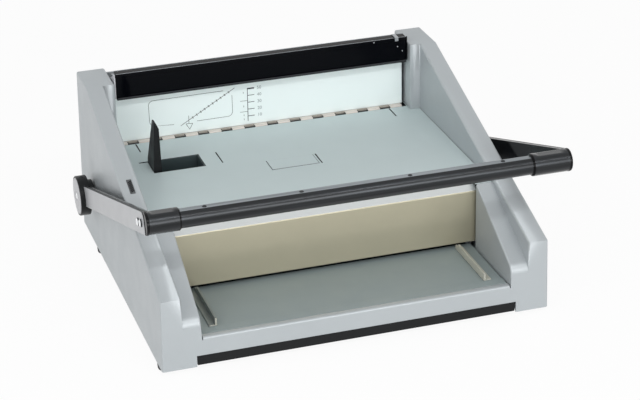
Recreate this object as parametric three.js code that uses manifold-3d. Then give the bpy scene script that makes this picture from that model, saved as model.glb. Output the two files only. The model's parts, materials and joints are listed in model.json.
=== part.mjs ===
// Strip binding machine: a manual punch in front, a powered strip press behind it, in one silver casing.
// Millimetres, +Z up, +X to the user's right, -Y towards the user. The machine is drawn with Y = 0 at the
// front columns and Z = 0 at the casing's lower edge, and moved at the end so that the origin lies under its
// middle, on the surface it stands on.
import * as THREE from 'three';
import { mergeVertices } from 'three/addons/utils/BufferGeometryUtils.js';
import Module from 'manifold-3d';

const wasm = await Module();
wasm.setup();

// Clearances and finish
const fixedGap = 0.3;
const runningGap = 0.5;
const overrun = 5;
const fineSides = 40;
const coarseSides = 20;
const arcSteps = 6;

// Main casing
const casingWidth = 437;
const casingDepth = 396;
const casingHeight = 193.5;
const columnHeight = 82;
const topFlatDepth = 57;
const casingWall = 3;
const sideDraft = THREE.MathUtils.degToRad(1.14);
const ridgeFootWidth = 24.2;
const pillarWidth = 13;
const stepWidth = 20.2;
const stepFrontHeight = 54;
const stepDepth = 106;
const stepNoseRadius = 14;
const sillTop = 33.6;
const sillBottom = 12.9;
const sillFlange = 9;
const chipBayRecess = 6.5;

// Deck, slot rail, badge and grooves
const deckHeight = 110;
const deckThickness = 3;
const bandDepth = 18;
const slotRailDepth = 6.8;
const slotRailProud = 1.6;
const slotPitch = 28;
const slotLength = 13;
const slotWidth = 4.6;
const grooveWidth = 1.4;
const grooveDepth = 1.2;
const guideGrooveLength = 32;
const guideGrooveGap = 21;
const badgeGrooveLength = 28;
const badgeGrooveGap = 3.5;
const cornerGrooveLength = 25;
const cornerGrooveInset = 17;
const badgeWidth = 56;
const badgeDepth = 26;
const badgeThickness = 1;
const badgeAhead = 25;
const badgeInset = 0.6;

// Guide blade and its pocket
const pocketWidth = 70;
const pocketDepth = 35;
const pocketHeight = 18;
const pocketWall = 1.3;
const pocketInset = 27.3;
const pocketAhead = 91.1;
const bladeThickness = 9.6;
const bladeHeight = 62.8;
const bladeSetback = 4.3;
const bladeTopDrop = 13;
const bladeTopWidth = 2.4;
const bladeTopLean = 0.6;
const bladeTopDepth = 9;
const bladeFootDepth = 3.7;
const bladeHeelHeight = 6;
const knuckleRadius = 1.6;
const trunnionRadius = 1;
const trunnionLength = 1.1;

// Back panel, frame and rear closure
const backPanelSetback = 36.3;
const backPanelThickness = 1.6;
const backPanelEndGap = 5.8;
const backingThickness = 2.4;
const backingBorder = 2.2;
const backingCorner = 6;
const panelHeight = 82;
const rearPanelThickness = 3;
const rearPanelTop = 188;
const topFlangeEndGap = 15.3;
const ventCount = 14;
const ventPitch = 9;
const ventWidth = 3;
const ventHeight = 34;
const ventBaseHeight = 28;
const ventCentreX = 80;

// Front cover of the punch
const coverFront = 110;
const coverBottom = 37.5;
const coverThickness = 2.5;
const coverLipDepth = 7;
const coverEndGap = 0.6;

// Paper tray and edge guides
const trayTop = 32;
const trayThickness = 3;
const traySideGap = 1.2;
const trayStepDepth = 13;
const trayStepHeight = 1.2;
const notchDepth = 3;
const edgeGuideInset = 22.6;
const edgeGuideThickness = 2.4;
const edgeGuideHeight = 9;
const edgeGuideFootWidth = 9;
const edgeGuideFootHeight = 1.5;

// Chip tray
const chipTrayLength = 150;
const chipTrayHeight = 11.6;
const chipTrayLift = 0.8;
const chipTrayWall = 2;
const chipTrayRecess = 1.5;

// Floor parts
const basePlateFront = 158;
const basePlateLift = 1;
const basePlateThickness = 2.5;
const bottomPlateThickness = 2;
const bottomPlateDrawIn = 4.5;
const footRadius = 9;
const footStemRadius = 5;
const footDrop = 6;
const footInset = 8.5;
const frontFootY = 20;
const rearFootInset = 79;

// Side plates
const sidePlateGap = 3.1;
const sidePlateThickness = 3;
const sidePlateFrontLift = 14;
const sidePlateChamfer = 18;

// Punch
const punchTravelRadius = 35;
const punchAngle = THREE.MathUtils.degToRad(20);
const punchLineY = 140;
const punchRadius = 1.6;
const punchHoleGap = 0.3;
const punchLength = 21;
const punchSides = 12;
const dieDepth = 32;
const dieFront = 118;
const dieThickness = 12.5;
const throatHeight = 5.4;
const throatDepth = 26;
const punchGuideThickness = 8;
const pinHolderHeight = 4;
const pinHolderDepth = 10;
const ramHeight = 26;
const ramDepth = 12;
const ramEndGap = 4;
const rollerRadius = 4;
const rollerLift = 14;
const pinHolderEndGap = 6;
const camPlateThickness = 3;
const camPlateMargin = 5;
const camRailHeight = 20;
const camRailBottom = 23;
const crankThickness = 6;
const crankRingRadius = 14;
const crankPinRadius = 4;
const crankEyeRadius = 8;
const crankSlotShare = 1.5;

// Handle
const pivotAhead = 74;
const pivotZ = 68;
const shaftRadius = 8;
const armReach = 354.5;
const armRise = THREE.MathUtils.degToRad(18.6);
const armWidth = 23.6;
const armOverBar = 1.5;
const armTopCorner = 8;
const armLowCorner = 2;
const armStandOff = 13.5;
const armSkin = 4;
const armLining = 3;
const hubRadius = 23.4;
const hubProud = 5.5;
const hubCollarLength = 6.5;
const hubCollarRadius = 17.5;
const hubCapRadius = 21.4;
const hubCapThickness = 1.5;
const hubBoreDepth = 6.5;
const barRadius = 10.2;
const barFlatDrop = 1.6;
const gripRoom = 39.5;
const spigotRadius = 7;
const gripRadius = 11.6;
const gripFlangeRadius = 12.5;
const gripFlangeWidth = 3;
const bushRadius = 12;
const bushFlangeRadius = 15;
const bushFlangeThickness = 1.5;

// Press head, racks and pinions
const headTravel = 56;
const headReach = 15.7;
const headEndGap = 3.1;
const headBottom = 170.5;
const headTop = 203;
const headThickness = 13;
const headLipProud = 2.4;
const headTopLip = 4.4;
const headBottomLip = 3;
const headFaceSetback = 2.4;
const headArmThickness = 2;
const headArmBottom = 172;
const headArmTop = 203;
const rackWidth = 6.5;
const rackGap = 2.5;
const rackBack = 7;
const rackBelowPinion = 9;
const toothModule = 1;
const pinionTeeth = 16;
const gearboxCrown = 17;
const meshPlay = 0.15;
const toothThinning = 0.16;
const pressureAngle = THREE.MathUtils.degToRad(20);
const rootClearanceShare = 0.25;
const rootWidthShare = 1.3;
const pinionShaftRadius = 4;
const gearboxX = 70;
const gearboxWidth = 50;
const gearboxHeadroom = 15;
const gearboxDepth = 47.7;
const motorRadius = 17;
const motorLength = 68;
const motorAhead = 32;
const motorZ = 38;

// Electrics
const transformerWidth = 62;
const transformerDepth = 56;
const transformerHeight = 52;
const transformerInset = 58;
const transformerY = 228;
const boardWidth = 110;
const boardDepth = 80;
const boardThickness = 1.6;
const boardLift = 7;
const boardX = 70;
const boardY = 236;
const standoffRadius = 3;
const inletWidth = 30;
const inletHeight = 24;
const inletInset = 64.3;
const inletZ = 32;
const inletDepth = 22;
const inletWall = 2;
const inletFlange = 3;
const inletFlangeThickness = 1.5;
const rockerRadius = 9;
const rockerWidth = 12;
const rockerSpacing = 38;
const rockerTilt = THREE.MathUtils.degToRad(8);
const rockerCorner = THREE.MathUtils.degToRad(40);
const rockerValley = 5.9;
const rockerProud = 2.2;

// Start key on the left ridge
const keyLength = 23;
const keyWidth = 5.4;
const keyHeight = 6;
const keyProud = 0.7;
const keyCentreY = 172;
const keyInset = 14.3;

// Sizes that follow from the ones above
const casingHalf = casingWidth / 2;
const ridgeInner = casingHalf - ridgeFootWidth;
const trayBayHalf = ridgeInner - stepWidth;
const chipBayHalf = trayBayHalf + chipBayRecess;
const pillarInner = ridgeInner - pillarWidth;
const armOuterX = casingHalf + armStandOff;
const hubOuterX = armOuterX + hubProud;
const hubInnerX = casingHalf + hubCollarLength;
const barHalf = armOuterX - gripRoom;
const sidePlateOuter = trayBayHalf - sidePlateGap;
const headHalf = pillarInner - headEndGap;
const backPanelHalf = pillarInner - backPanelEndGap;
const topFlangeHalf = pillarInner - topFlangeEndGap;
const cornerGrooveX = backPanelHalf - cornerGrooveInset;
const edgeGuideX = trayBayHalf - edgeGuideInset;
const keyCentreX = keyInset - casingHalf;
const inletX = inletInset - ridgeInner;
const rockerX = inletX + rockerSpacing;
const slotCount = Math.floor((backPanelHalf * 2 - slotLength) / slotPitch);
const pivotY = casingDepth - pivotAhead;
const backPanelFront = casingDepth - backPanelSetback;
const headFront = backPanelFront - headReach;
const motorY = casingDepth - motorAhead;
const rearFootY = casingDepth - rearFootInset;
const topFlatStart = casingDepth - topFlatDepth;
const ridgeSlope = (casingHeight - columnHeight) / topFlatStart;
const ridgeAngle = Math.atan(ridgeSlope);
const stepSlope = (deckHeight - stepFrontHeight) / stepDepth;
const deckFront = coverFront + bandDepth;
const coverKnee = deckHeight - bandDepth * stepSlope;
const deckUnder = deckHeight - deckThickness;
const slotRailFront = backPanelFront - fixedGap - slotRailDepth;
const deckRear = slotRailFront - fixedGap;
const pocketLeftX = pocketInset - ridgeInner;
const pocketFrontY = slotRailFront - pocketAhead;
const badgeCentreY = pocketFrontY - badgeAhead;
const coverBack = coverFront + coverThickness;
const basePlateTop = basePlateLift + basePlateThickness;
const sidePlateInner = sidePlateOuter - sidePlateThickness;
const ramHalf = sidePlateInner - ramEndGap;
const punchHalf = sidePlateInner - pinHolderEndGap;
const transformerX = transformerInset - sidePlateInner;
const sidePlateTop = deckUnder - fixedGap;
const backingFront = backPanelFront + backPanelThickness + fixedGap;
const backingRear = backingFront + backingThickness;
const rackFront = backingRear + rackGap;
const rearPanelFront = casingDepth - rearPanelThickness;
const gearboxRear = rearPanelFront - fixedGap;
const gearboxFront = gearboxRear - gearboxDepth;
const gearboxHeight = deckUnder - gearboxHeadroom;
const pinionHeight = gearboxHeight - gearboxCrown;
const rackBottom = pinionHeight - rackBelowPinion;
const panelBottom = deckHeight + fixedGap;
const dieTop = trayTop - fixedGap;
const guideBottom = dieTop + throatHeight;
const guideTop = guideBottom + punchGuideThickness;
const pinHolderBottom = guideBottom + runningGap + punchLength;
const pinHolderTop = pinHolderBottom + pinHolderHeight;
const ramBottom = pinHolderTop + fixedGap;
const rollerZ = ramBottom + rollerLift;
const punchTravel = punchTravelRadius * punchAngle;
const camPlateInner = sidePlateOuter + runningGap;
const camPlateOuter = camPlateInner + camPlateThickness;
const crankInner = camPlateOuter + runningGap;
const crankOuter = crankInner + crankThickness;
const armInnerX = armOuterX - armSkin - fixedGap - armLining;
const barY = pivotY - armReach * Math.cos(armRise);
const barZ = pivotZ + armReach * Math.sin(armRise);
const pitchRadius = toothModule * pinionTeeth / 2;
const toothPitch = Math.PI * toothModule;
const rackPitchLine = rackFront + rackBack + toothModule;
const pinionY = rackPitchLine + pitchRadius + meshPlay;
const headArmInner = headHalf + fixedGap;
const headArmOuter = headArmInner + headArmThickness;
const rackOuter = headArmInner - fixedGap;

// Materials
const finish = (color, roughness, metalness) => new THREE.MeshStandardMaterial({ color, roughness,
  metalness });
const casingPlastic = finish(0xc4c8cb, 0.5, 0.1);
const deckPlastic = finish(0xaab7b8, 0.6, 0.0);
const panelWhite = finish(0xdfeceb, 0.45, 0.0);
const railCream = finish(0xd8cfc8, 0.6, 0.0);
const coverMetal = finish(0xa8a595, 0.35, 0.6);
const blackPlastic = finish(0x15181a, 0.45, 0.0);
const glossBlack = finish(0x06080c, 0.15, 0.1);
const trayPlastic = finish(0x8d9899, 0.6, 0.0);
const guidePlastic = finish(0xc9c9bd, 0.5, 0.0);
const armPaint = finish(0xb9babd, 0.4, 0.3);
const barMetal = finish(0x2a2c2e, 0.3, 0.7);
const capPlastic = finish(0xb5b6ba, 0.45, 0.1);
const sheetSteel = finish(0x9a9d9f, 0.4, 0.9);
const toolSteel = finish(0x7f8387, 0.3, 1.0);
const bronze = finish(0xa9824c, 0.4, 1.0);
const rubberBlack = finish(0x16171a, 0.9, 0.0);
const boardGreen = finish(0x1f5b3a, 0.6, 0.0);
const coilIron = finish(0x4a4d50, 0.6, 0.5);

// Closed geometry to solid and back
function toSolid(geometry) {
  const plain = geometry.index ? geometry.toNonIndexed() : geometry.clone();
  plain.deleteAttribute('normal');
  plain.deleteAttribute('uv');
  const merged = mergeVertices(plain);
  const vertProperties = new Float32Array(merged.attributes.position.array);
  const triVerts = new Uint32Array(merged.index.array);
  return new wasm.Manifold(new wasm.Mesh({ numProp: 3, vertProperties, triVerts }));
}

function toGeometry(solid) {
  const mesh = solid.getMesh();
  const geometry = new THREE.BufferGeometry();
  geometry.setAttribute('position', new THREE.BufferAttribute(mesh.vertProperties, 3));
  geometry.setIndex(new THREE.BufferAttribute(mesh.triVerts, 1));
  return geometry;
}

const join = (first, ...rest) => rest.reduce((sum, solid) => sum.add(solid), first);
const cut = (first, ...rest) => rest.reduce((sum, solid) => sum.subtract(solid), first);

// An outline extruded along one axis. The outline's points are (Y, Z) for axis x, (X, Z) for axis y and
// (X, Y) for axis z.
function prism(axis, outline, end, otherEnd) {
  const low = Math.min(end, otherEnd);
  const high = Math.max(end, otherEnd);
  const shape = new THREE.Shape(outline.map(([u, v]) => new THREE.Vector2(u, v)));
  const geometry = new THREE.ExtrudeGeometry(shape, { depth: high - low, bevelEnabled: false });
  const turn = new THREE.Matrix4();
  const right = new THREE.Vector3(1, 0, 0);
  const back = new THREE.Vector3(0, 1, 0);
  const up = new THREE.Vector3(0, 0, 1);
  if (axis === 'x') {
    turn.makeBasis(back, up, right).setPosition(low, 0, 0);
  } else if (axis === 'y') {
    turn.makeBasis(right, up, back.negate()).setPosition(0, high, 0);
  } else {
    turn.makeBasis(right, back, up).setPosition(0, 0, low);
  }
  return toSolid(geometry.applyMatrix4(turn));
}

function block(x0, x1, y0, y1, z0, z1) {
  const geometry = new THREE.BoxGeometry(Math.abs(x1 - x0), Math.abs(y1 - y0), Math.abs(z1 - z0));
  return toSolid(geometry.translate((x0 + x1) / 2, (y0 + y1) / 2, (z0 + z1) / 2));
}

// A round rod along one axis, between two ends, centred on (a, b) of the other two axes in X, Y, Z order.
function rod(axis, radius, end, otherEnd, a, b, sides = fineSides) {
  const geometry = new THREE.CylinderGeometry(radius, radius, Math.abs(otherEnd - end), sides);
  const middle = (end + otherEnd) / 2;
  if (axis === 'x') {
    geometry.rotateZ(-Math.PI / 2).translate(middle, a, b);
  } else if (axis === 'y') {
    geometry.translate(a, middle, b);
  } else {
    geometry.rotateX(Math.PI / 2).translate(a, b, middle);
  }
  return toSolid(geometry);
}

// Points of an arc about a centre, from one angle to another.
function arc(centreU, centreV, radius, startAngle, endAngle, steps = arcSteps) {
  const points = [];
  for (let step = 0; step <= steps; step += 1) {
    const angle = THREE.MathUtils.lerp(startAngle, endAngle, step / steps);
    points.push([centreU + radius * Math.cos(angle), centreV + radius * Math.sin(angle)]);
  }
  return points;
}

const machine = new THREE.Group();

function piece(name, solid, material) {
  const mesh = new THREE.Mesh(toGeometry(solid), material);
  mesh.name = name;
  machine.add(mesh);
}

const sides = [{ name: 'left', sign: -1 }, { name: 'right', sign: 1 }];

// Main casing: side profile of the ridge, whole or drawn in by a wall
function ridgeProfile(inset) {
  const lift = inset * Math.hypot(1, ridgeSlope);
  const top = casingHeight - inset;
  const slopeEnd = (top - columnHeight + lift) / ridgeSlope;
  const bottom = inset > 0 ? -overrun : 0;
  return [
    [inset, bottom],
    [casingDepth - inset, bottom],
    [casingDepth - inset, top],
    [slopeEnd, top],
    [inset, columnHeight + ridgeSlope * inset - lift],
  ];
}

// Side profile of the inner step, with its rounded nose. The cavity runs out at the back.
function stepProfile(inset) {
  const lean = Math.hypot(1, stepSlope);
  const radius = stepNoseRadius - inset;
  const centreZ = stepFrontHeight + stepSlope * stepNoseRadius - stepNoseRadius * lean;
  const back = inset > 0 ? stepDepth + overrun : stepDepth;
  const bottom = inset > 0 ? -overrun : 0;
  const nose = arc(stepNoseRadius, centreZ, radius, Math.PI, Math.PI - Math.atan(1 / stepSlope));
  return [
    [back, stepFrontHeight + stepSlope * back - inset * lean],
    ...nose.reverse(),
    [inset, bottom],
    [back, bottom],
  ];
}

// Everything outside the drafted flank, moved in by a wall
function outsideFlank(sign, inset) {
  const tool = new THREE.BoxGeometry(casingWidth, casingDepth * 2, (casingHeight + overrun) * 2);
  tool.translate(casingHalf, 0, 0);
  tool.rotateY(-sideDraft);
  tool.translate(casingHalf - inset, 0, 0);
  if (sign < 0) {
    tool.rotateZ(Math.PI);
  }
  tool.translate(0, casingDepth / 2, 0);
  return toSolid(tool);
}

function housing({ sign }) {
  const outer = join(
    prism('x', ridgeProfile(0), sign * ridgeInner, sign * casingHalf),
    prism('x', stepProfile(0), sign * trayBayHalf, sign * (ridgeInner + casingWall / 2)),
    block(sign * pillarInner, sign * (ridgeInner + casingWall / 2), topFlatStart, casingDepth,
      deckHeight + fixedGap, casingHeight),
  ).subtract(outsideFlank(sign, 0));
  const cavity = join(
    prism('x', ridgeProfile(casingWall), sign * (ridgeInner + casingWall), sign * casingHalf),
    prism('x', stepProfile(casingWall), sign * (trayBayHalf + casingWall),
      sign * (ridgeInner + casingWall * 2)),
    block(sign * (pillarInner + casingWall), sign * (ridgeInner + casingWall * 2), topFlatStart + casingWall,
      casingDepth - casingWall, deckHeight - overrun, casingHeight - casingWall),
  ).subtract(outsideFlank(sign, casingWall));
  const shaftHole = rod('x', shaftRadius + runningGap, sign * trayBayHalf, sign * (casingHalf + overrun),
    pivotY, pivotZ);
  return cut(outer, cavity, shaftHole);
}

function sill() {
  const lift = sillTop - casingWall;
  const outline = [
    [0, sillBottom], [casingWall, sillBottom], [casingWall, lift], [sillFlange, lift], [sillFlange, sillTop],
    [0, sillTop],
  ];
  const reach = trayBayHalf + casingWall / 2;
  const bar = prism('x', outline, -reach, reach);
  const notches = sides.map(({ sign }) => block(sign * trayBayHalf, sign * (trayBayHalf - traySideGap),
    -overrun, sillFlange + overrun, sillTop - notchDepth, sillTop + overrun));
  return cut(bar, ...notches);
}

// Key placed on the slope of the left ridge
const keyCentreZ = columnHeight + ridgeSlope * keyCentreY;

function onRidgeSlope(length, width, low, high) {
  const geometry = new THREE.BoxGeometry(width, length, high - low);
  geometry.translate(0, 0, (high + low) / 2);
  geometry.rotateX(ridgeAngle);
  return toSolid(geometry.translate(keyCentreX, keyCentreY, keyCentreZ));
}

const chipBay = block(-chipBayHalf, chipBayHalf, -overrun, stepDepth + overrun, -overrun, sillBottom);
const keyHole = onRidgeSlope(keyLength + fixedGap * 2, keyWidth + fixedGap * 2, -casingWall - overrun,
  overrun);
piece('main_casing', cut(join(housing(sides[0]), housing(sides[1]), sill()), chipBay, keyHole),
  casingPlastic);
piece('start_key', onRidgeSlope(keyLength, keyWidth, keyProud - keyHeight, keyProud), blackPlastic);

// Plates that close the housings, and the feet under them: a pad below the casing's edge on a stem
const footX = casingHalf - footInset;
const bottomPlateTop = basePlateLift + bottomPlateThickness;
const feet = [['front', frontFootY], ['rear', rearFootY]];
for (const { name, sign } of sides) {
  const inner = ridgeInner + casingWall + fixedGap;
  const outer = casingHalf - bottomPlateDrawIn - fixedGap;
  const front = casingWall + fixedGap;
  const ridgeFloor = block(sign * inner, sign * outer, front, casingDepth - front, basePlateLift,
    bottomPlateTop);
  const stepFloor = block(sign * (chipBayHalf + fixedGap), sign * (inner + casingWall), front,
    stepDepth - fixedGap, basePlateLift, bottomPlateTop);
  piece(`${name}_bottom_plate`, join(ridgeFloor, stepFloor), sheetSteel);
  for (const [place, y] of feet) {
    const pad = rod('z', footRadius, -footDrop, -fixedGap, sign * footX, y);
    const stem = rod('z', footStemRadius, -footDrop / 2, basePlateLift - fixedGap, sign * footX, y,
      coarseSides);
    piece(`${place}_${name}_foot`, pad.add(stem), rubberBlack);
  }
}

// Base plate between the housings
const basePlateRear = rearPanelFront - fixedGap;
piece('base_plate', block(-ridgeInner + fixedGap, ridgeInner - fixedGap, basePlateFront, basePlateRear,
  basePlateLift, basePlateTop), sheetSteel);

// Deck: a plate whose wings run forward beside the front cover
const deckWingFront = stepDepth + fixedGap;
const deckHalf = ridgeInner - fixedGap;
const pocketRightX = pocketLeftX + pocketWidth;
const pocketRearY = pocketFrontY + pocketDepth;
const pocketCentreY = pocketFrontY + pocketDepth / 2;
const firstSlotX = -slotPitch * (slotCount - 1) / 2;
const cornerGrooveRear = deckRear - grooveWidth;
const badgeRight = badgeWidth / 2;

function groove(x, front, length) {
  return block(x - grooveWidth / 2, x + grooveWidth / 2, front, front + length, deckHeight - grooveDepth,
    deckHeight + overrun);
}

function deck() {
  const bayHalf = trayBayHalf - fixedGap;
  const plate = block(-deckHalf, deckHalf, deckWingFront, deckRear, deckUnder, deckHeight);
  const rearWings = sides.map(({ sign }) => block(sign * (headArmOuter + runningGap), sign * deckHalf,
    deckRear - grooveWidth, rearPanelFront - fixedGap, deckUnder, deckHeight));
  const coverNotch = block(-bayHalf, bayHalf, 0, deckFront + fixedGap, 0, deckHeight + overrun);
  const pocketHole = block(pocketLeftX - fixedGap, pocketRightX + fixedGap, pocketFrontY - fixedGap,
    pocketRearY + fixedGap, 0, deckHeight + overrun);
  const badgeSeat = block(-badgeRight - fixedGap, badgeRight + fixedGap,
    badgeCentreY - badgeDepth / 2 - fixedGap,
    badgeCentreY + badgeDepth / 2 + fixedGap, deckHeight - badgeInset - fixedGap, deckHeight + overrun);
  const grooves = [
    groove(pocketRightX + guideGrooveGap, pocketCentreY - guideGrooveLength / 2, guideGrooveLength),
    groove(badgeRight + badgeGrooveGap, badgeCentreY - badgeGrooveLength / 2, badgeGrooveLength),
    groove(-cornerGrooveX, cornerGrooveRear - cornerGrooveLength, cornerGrooveLength),
    groove(cornerGrooveX, cornerGrooveRear - cornerGrooveLength, cornerGrooveLength),
  ];
  return cut(join(plate, ...rearWings), coverNotch, pocketHole, badgeSeat, ...grooves);
}

piece('deck_plate', deck(), deckPlastic);
piece('badge_plate', block(-badgeRight, badgeRight, badgeCentreY - badgeDepth / 2,
  badgeCentreY + badgeDepth / 2,
  deckHeight - badgeInset, deckHeight - badgeInset + badgeThickness), capPlastic);

// Strip slot rail along the rear of the deck, a comb whose slots are open towards the back panel
const slotRailRear = slotRailFront + slotRailDepth;
const slotRailHalf = backPanelHalf;
const stripSlots = [];
for (let index = 0; index < slotCount; index += 1) {
  const x = firstSlotX + slotPitch * index;
  stripSlots.push(block(x - slotLength / 2, x + slotLength / 2, slotRailRear - slotWidth,
    slotRailRear + overrun,
    0, casingHeight));
}
piece('strip_slot_rail', cut(block(-slotRailHalf, slotRailHalf, slotRailFront, slotRailRear, deckUnder,
  deckHeight + slotRailProud),
  ...stripSlots), railCream);

// Pocket and fold-down guide blade. The blade hinges about Y at its lower left corner.
const hingeX = pocketLeftX + pocketWall + bladeFootDepth + fixedGap;
const hingeZ = deckHeight - knuckleRadius - fixedGap;
const bladeFront = pocketFrontY + pocketWall + trunnionLength / 2 + runningGap;
const bladeRear = pocketRearY - pocketWall - trunnionLength / 2 - runningGap;

function guidePocket() {
  const top = deckHeight - fixedGap;
  const shell = block(pocketLeftX, pocketRightX, pocketFrontY, pocketRearY, top - pocketHeight, top);
  const hollow = block(pocketLeftX + pocketWall, pocketRightX - pocketWall, pocketFrontY + pocketWall,
    pocketRearY - pocketWall, top - pocketHeight + pocketWall, deckHeight + overrun);
  const bearing = rod('y', trunnionRadius + fixedGap, pocketFrontY - overrun, pocketRearY + overrun,
    hingeX, hingeZ, coarseSides);
  const mouth = block(hingeX - trunnionRadius - fixedGap, hingeX + trunnionRadius + fixedGap,
    pocketFrontY - overrun, pocketRearY + overrun, hingeZ, deckHeight + overrun);
  return cut(shell, hollow, bearing, mouth);
}

function guideBlade() {
  const left = hingeX + bladeSetback;
  const right = left + bladeThickness;
  const top = hingeZ + bladeHeight;
  const foot = hingeZ - bladeFootDepth;
  const across = prism('y', [[left, foot], [right, foot], [right - bladeTopWidth / 2, top - bladeTopDrop],
    [left + bladeTopWidth, top], [left + bladeTopLean, top]], bladeFront, bladeRear);
  const along = prism('x', [[bladeFront, foot], [bladeRear, foot], [bladeRear, deckHeight + bladeHeelHeight],
    [bladeFront + bladeTopDepth, top + fixedGap], [bladeFront, top + fixedGap]], left - overrun,
      right + overrun);
  const knuckle = rod('y', knuckleRadius, bladeFront, bladeRear, hingeX, hingeZ, coarseSides);
  const trunnion = rod('y', trunnionRadius, bladeFront - trunnionLength, bladeRear + trunnionLength,
    hingeX, hingeZ, coarseSides);
  const leaf = block(hingeX, left + bladeTopWidth, bladeFront, bladeRear, hingeZ - knuckleRadius,
    hingeZ + knuckleRadius);
  return join(across.intersect(along), leaf, knuckle, trunnion);
}

piece('guide_pocket', guidePocket(), blackPlastic);
piece('guide_blade', guideBlade(), blackPlastic);

// Back panel and the black backing that frames it
const backingHalf = backPanelHalf + backingBorder;
const backingTop = panelBottom + panelHeight;
const backingOutline = [
  ...arc(-backingHalf + backingCorner, panelBottom + backingCorner, backingCorner, Math.PI, Math.PI * 3 / 2),
  ...arc(backingHalf - backingCorner, panelBottom + backingCorner, backingCorner, -Math.PI / 2, 0),
  [backingHalf, backingTop],
  [-backingHalf, backingTop],
];
piece('panel_backing', prism('y', backingOutline, backingFront, backingRear), blackPlastic);
piece('back_panel', block(-backPanelHalf, backPanelHalf, backPanelFront, backPanelFront + backPanelThickness,
  panelBottom + backingBorder, backingTop), panelWhite);

// Rear panel with vents, and openings for the inlet and the switch
const inletHalfWidth = inletWidth / 2;
const inletHalfHeight = inletHeight / 2;
const rockerY = casingDepth - rockerRadius + rockerProud;

function rearPanel() {
  const low = block(-ridgeInner + fixedGap, ridgeInner - fixedGap, rearPanelFront, casingDepth,
    basePlateLift, deckHeight - fixedGap);
  const high = block(-pillarInner + fixedGap, pillarInner - fixedGap, rearPanelFront, casingDepth,
    deckHeight - casingWall, rearPanelTop);
  const flange = block(-topFlangeHalf, topFlangeHalf, backingRear + fixedGap, casingDepth,
    rearPanelTop - rearPanelThickness, rearPanelTop);
  const vents = [];
  for (let index = 0; index < ventCount; index += 1) {
    const x = ventCentreX + ventPitch * (index - (ventCount - 1) / 2);
    vents.push(block(x - ventWidth / 2, x + ventWidth / 2, rearPanelFront - overrun, casingDepth + overrun,
      ventBaseHeight, ventBaseHeight + ventHeight));
  }
  const inletHole = block(inletX - inletHalfWidth - fixedGap, inletX + inletHalfWidth + fixedGap,
    rearPanelFront - overrun, casingDepth + overrun, inletZ - inletHalfHeight - fixedGap,
    inletZ + inletHalfHeight + fixedGap);
  const rockerHalf = rockerWidth / 2 + fixedGap;
  const rockerHole = block(rockerX - rockerHalf, rockerX + rockerHalf, rearPanelFront - overrun,
    casingDepth + overrun, inletZ - rockerRadius - fixedGap, inletZ + rockerRadius + fixedGap);
  return cut(join(low, high, flange), ...vents, inletHole, rockerHole);
}

piece('rear_panel', rearPanel(), casingPlastic);

// Power inlet with its socket, and the rocker of the power switch
const inletBody = block(inletX - inletHalfWidth, inletX + inletHalfWidth, casingDepth - inletDepth,
  casingDepth,
  inletZ - inletHalfHeight, inletZ + inletHalfHeight);
const inletRim = block(inletX - inletHalfWidth - inletFlange, inletX + inletHalfWidth + inletFlange,
  casingDepth + fixedGap, casingDepth + fixedGap + inletFlangeThickness,
  inletZ - inletHalfHeight - inletFlange, inletZ + inletHalfHeight + inletFlange);
const inletNeck = block(inletX - inletHalfWidth, inletX + inletHalfWidth, casingDepth - inletWall,
  casingDepth + inletFlangeThickness, inletZ - inletHalfHeight, inletZ + inletHalfHeight);
const inletSocket = block(inletX - inletHalfWidth + inletWall, inletX + inletHalfWidth - inletWall,
  casingDepth - inletDepth + inletWall, casingDepth + overrun, inletZ - inletHalfHeight + inletWall,
  inletZ + inletHalfHeight - inletWall);
piece('power_inlet', cut(join(inletBody, inletNeck, inletRim), inletSocket), blackPlastic);

const rockerOutline = [
  ...arc(rockerY, inletZ, rockerRadius, rockerCorner - rockerTilt, Math.PI * 2 - rockerCorner - rockerTilt,
    arcSteps * 3),
  [rockerY + rockerValley * Math.cos(rockerTilt), inletZ - rockerValley * Math.sin(rockerTilt)],
];
piece('switch_rocker', prism('x', rockerOutline, rockerX - rockerWidth / 2, rockerX + rockerWidth / 2),
  blackPlastic);

// Front cover: vertical face, sloping band and a lip over the throat
const coverSlopeDrop = coverThickness * Math.hypot(1, stepSlope);
const coverOutline = [
  [coverFront, coverBottom],
  [coverFront + coverLipDepth, coverBottom],
  [coverFront + coverLipDepth, coverBottom + coverThickness],
  [coverBack, coverBottom + coverThickness],
  [coverBack, coverKnee + coverThickness * stepSlope - coverSlopeDrop],
  [deckFront, deckHeight - coverSlopeDrop],
  [deckFront, deckHeight],
  [coverFront, coverKnee],
];
const coverHalf = trayBayHalf - coverEndGap;
piece('front_cover', prism('x', coverOutline, -coverHalf, coverHalf), coverMetal);

// Paper tray and its two edge guides
const trayFront = sillFlange + fixedGap;
const trayHalf = trayBayHalf - traySideGap;
const trayRear = dieFront - fixedGap;
const trayStepRear = trayFront + trayStepDepth;
const trayOutline = [
  [trayFront, trayTop - trayThickness],
  [trayRear, trayTop - trayThickness],
  [trayRear, trayTop],
  [trayStepRear, trayTop],
  [trayStepRear, trayTop + trayStepHeight],
  [trayFront, trayTop + trayStepHeight],
];
piece('paper_tray', prism('x', trayOutline, -trayHalf, trayHalf), trayPlastic);
for (const { name, sign } of sides) {
  const bottom = trayTop + fixedGap;
  const front = trayStepRear + fixedGap;
  const rear = coverFront - fixedGap;
  const fence = block(sign * edgeGuideX, sign * (edgeGuideX + edgeGuideThickness), front, rear, bottom,
    bottom + edgeGuideHeight);
  const foot = block(sign * edgeGuideX, sign * (edgeGuideX + edgeGuideFootWidth), front, rear, bottom,
    bottom + edgeGuideFootHeight);
  const lowered = block(sign * (edgeGuideX - overrun), sign * (edgeGuideX + edgeGuideFootWidth + overrun),
    rear - edgeGuideFootWidth, rear + overrun, coverBottom - runningGap, bottom + edgeGuideHeight + overrun);
  piece(`${name}_edge_guide`, cut(join(fence, foot), lowered), guidePlastic);
}

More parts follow.
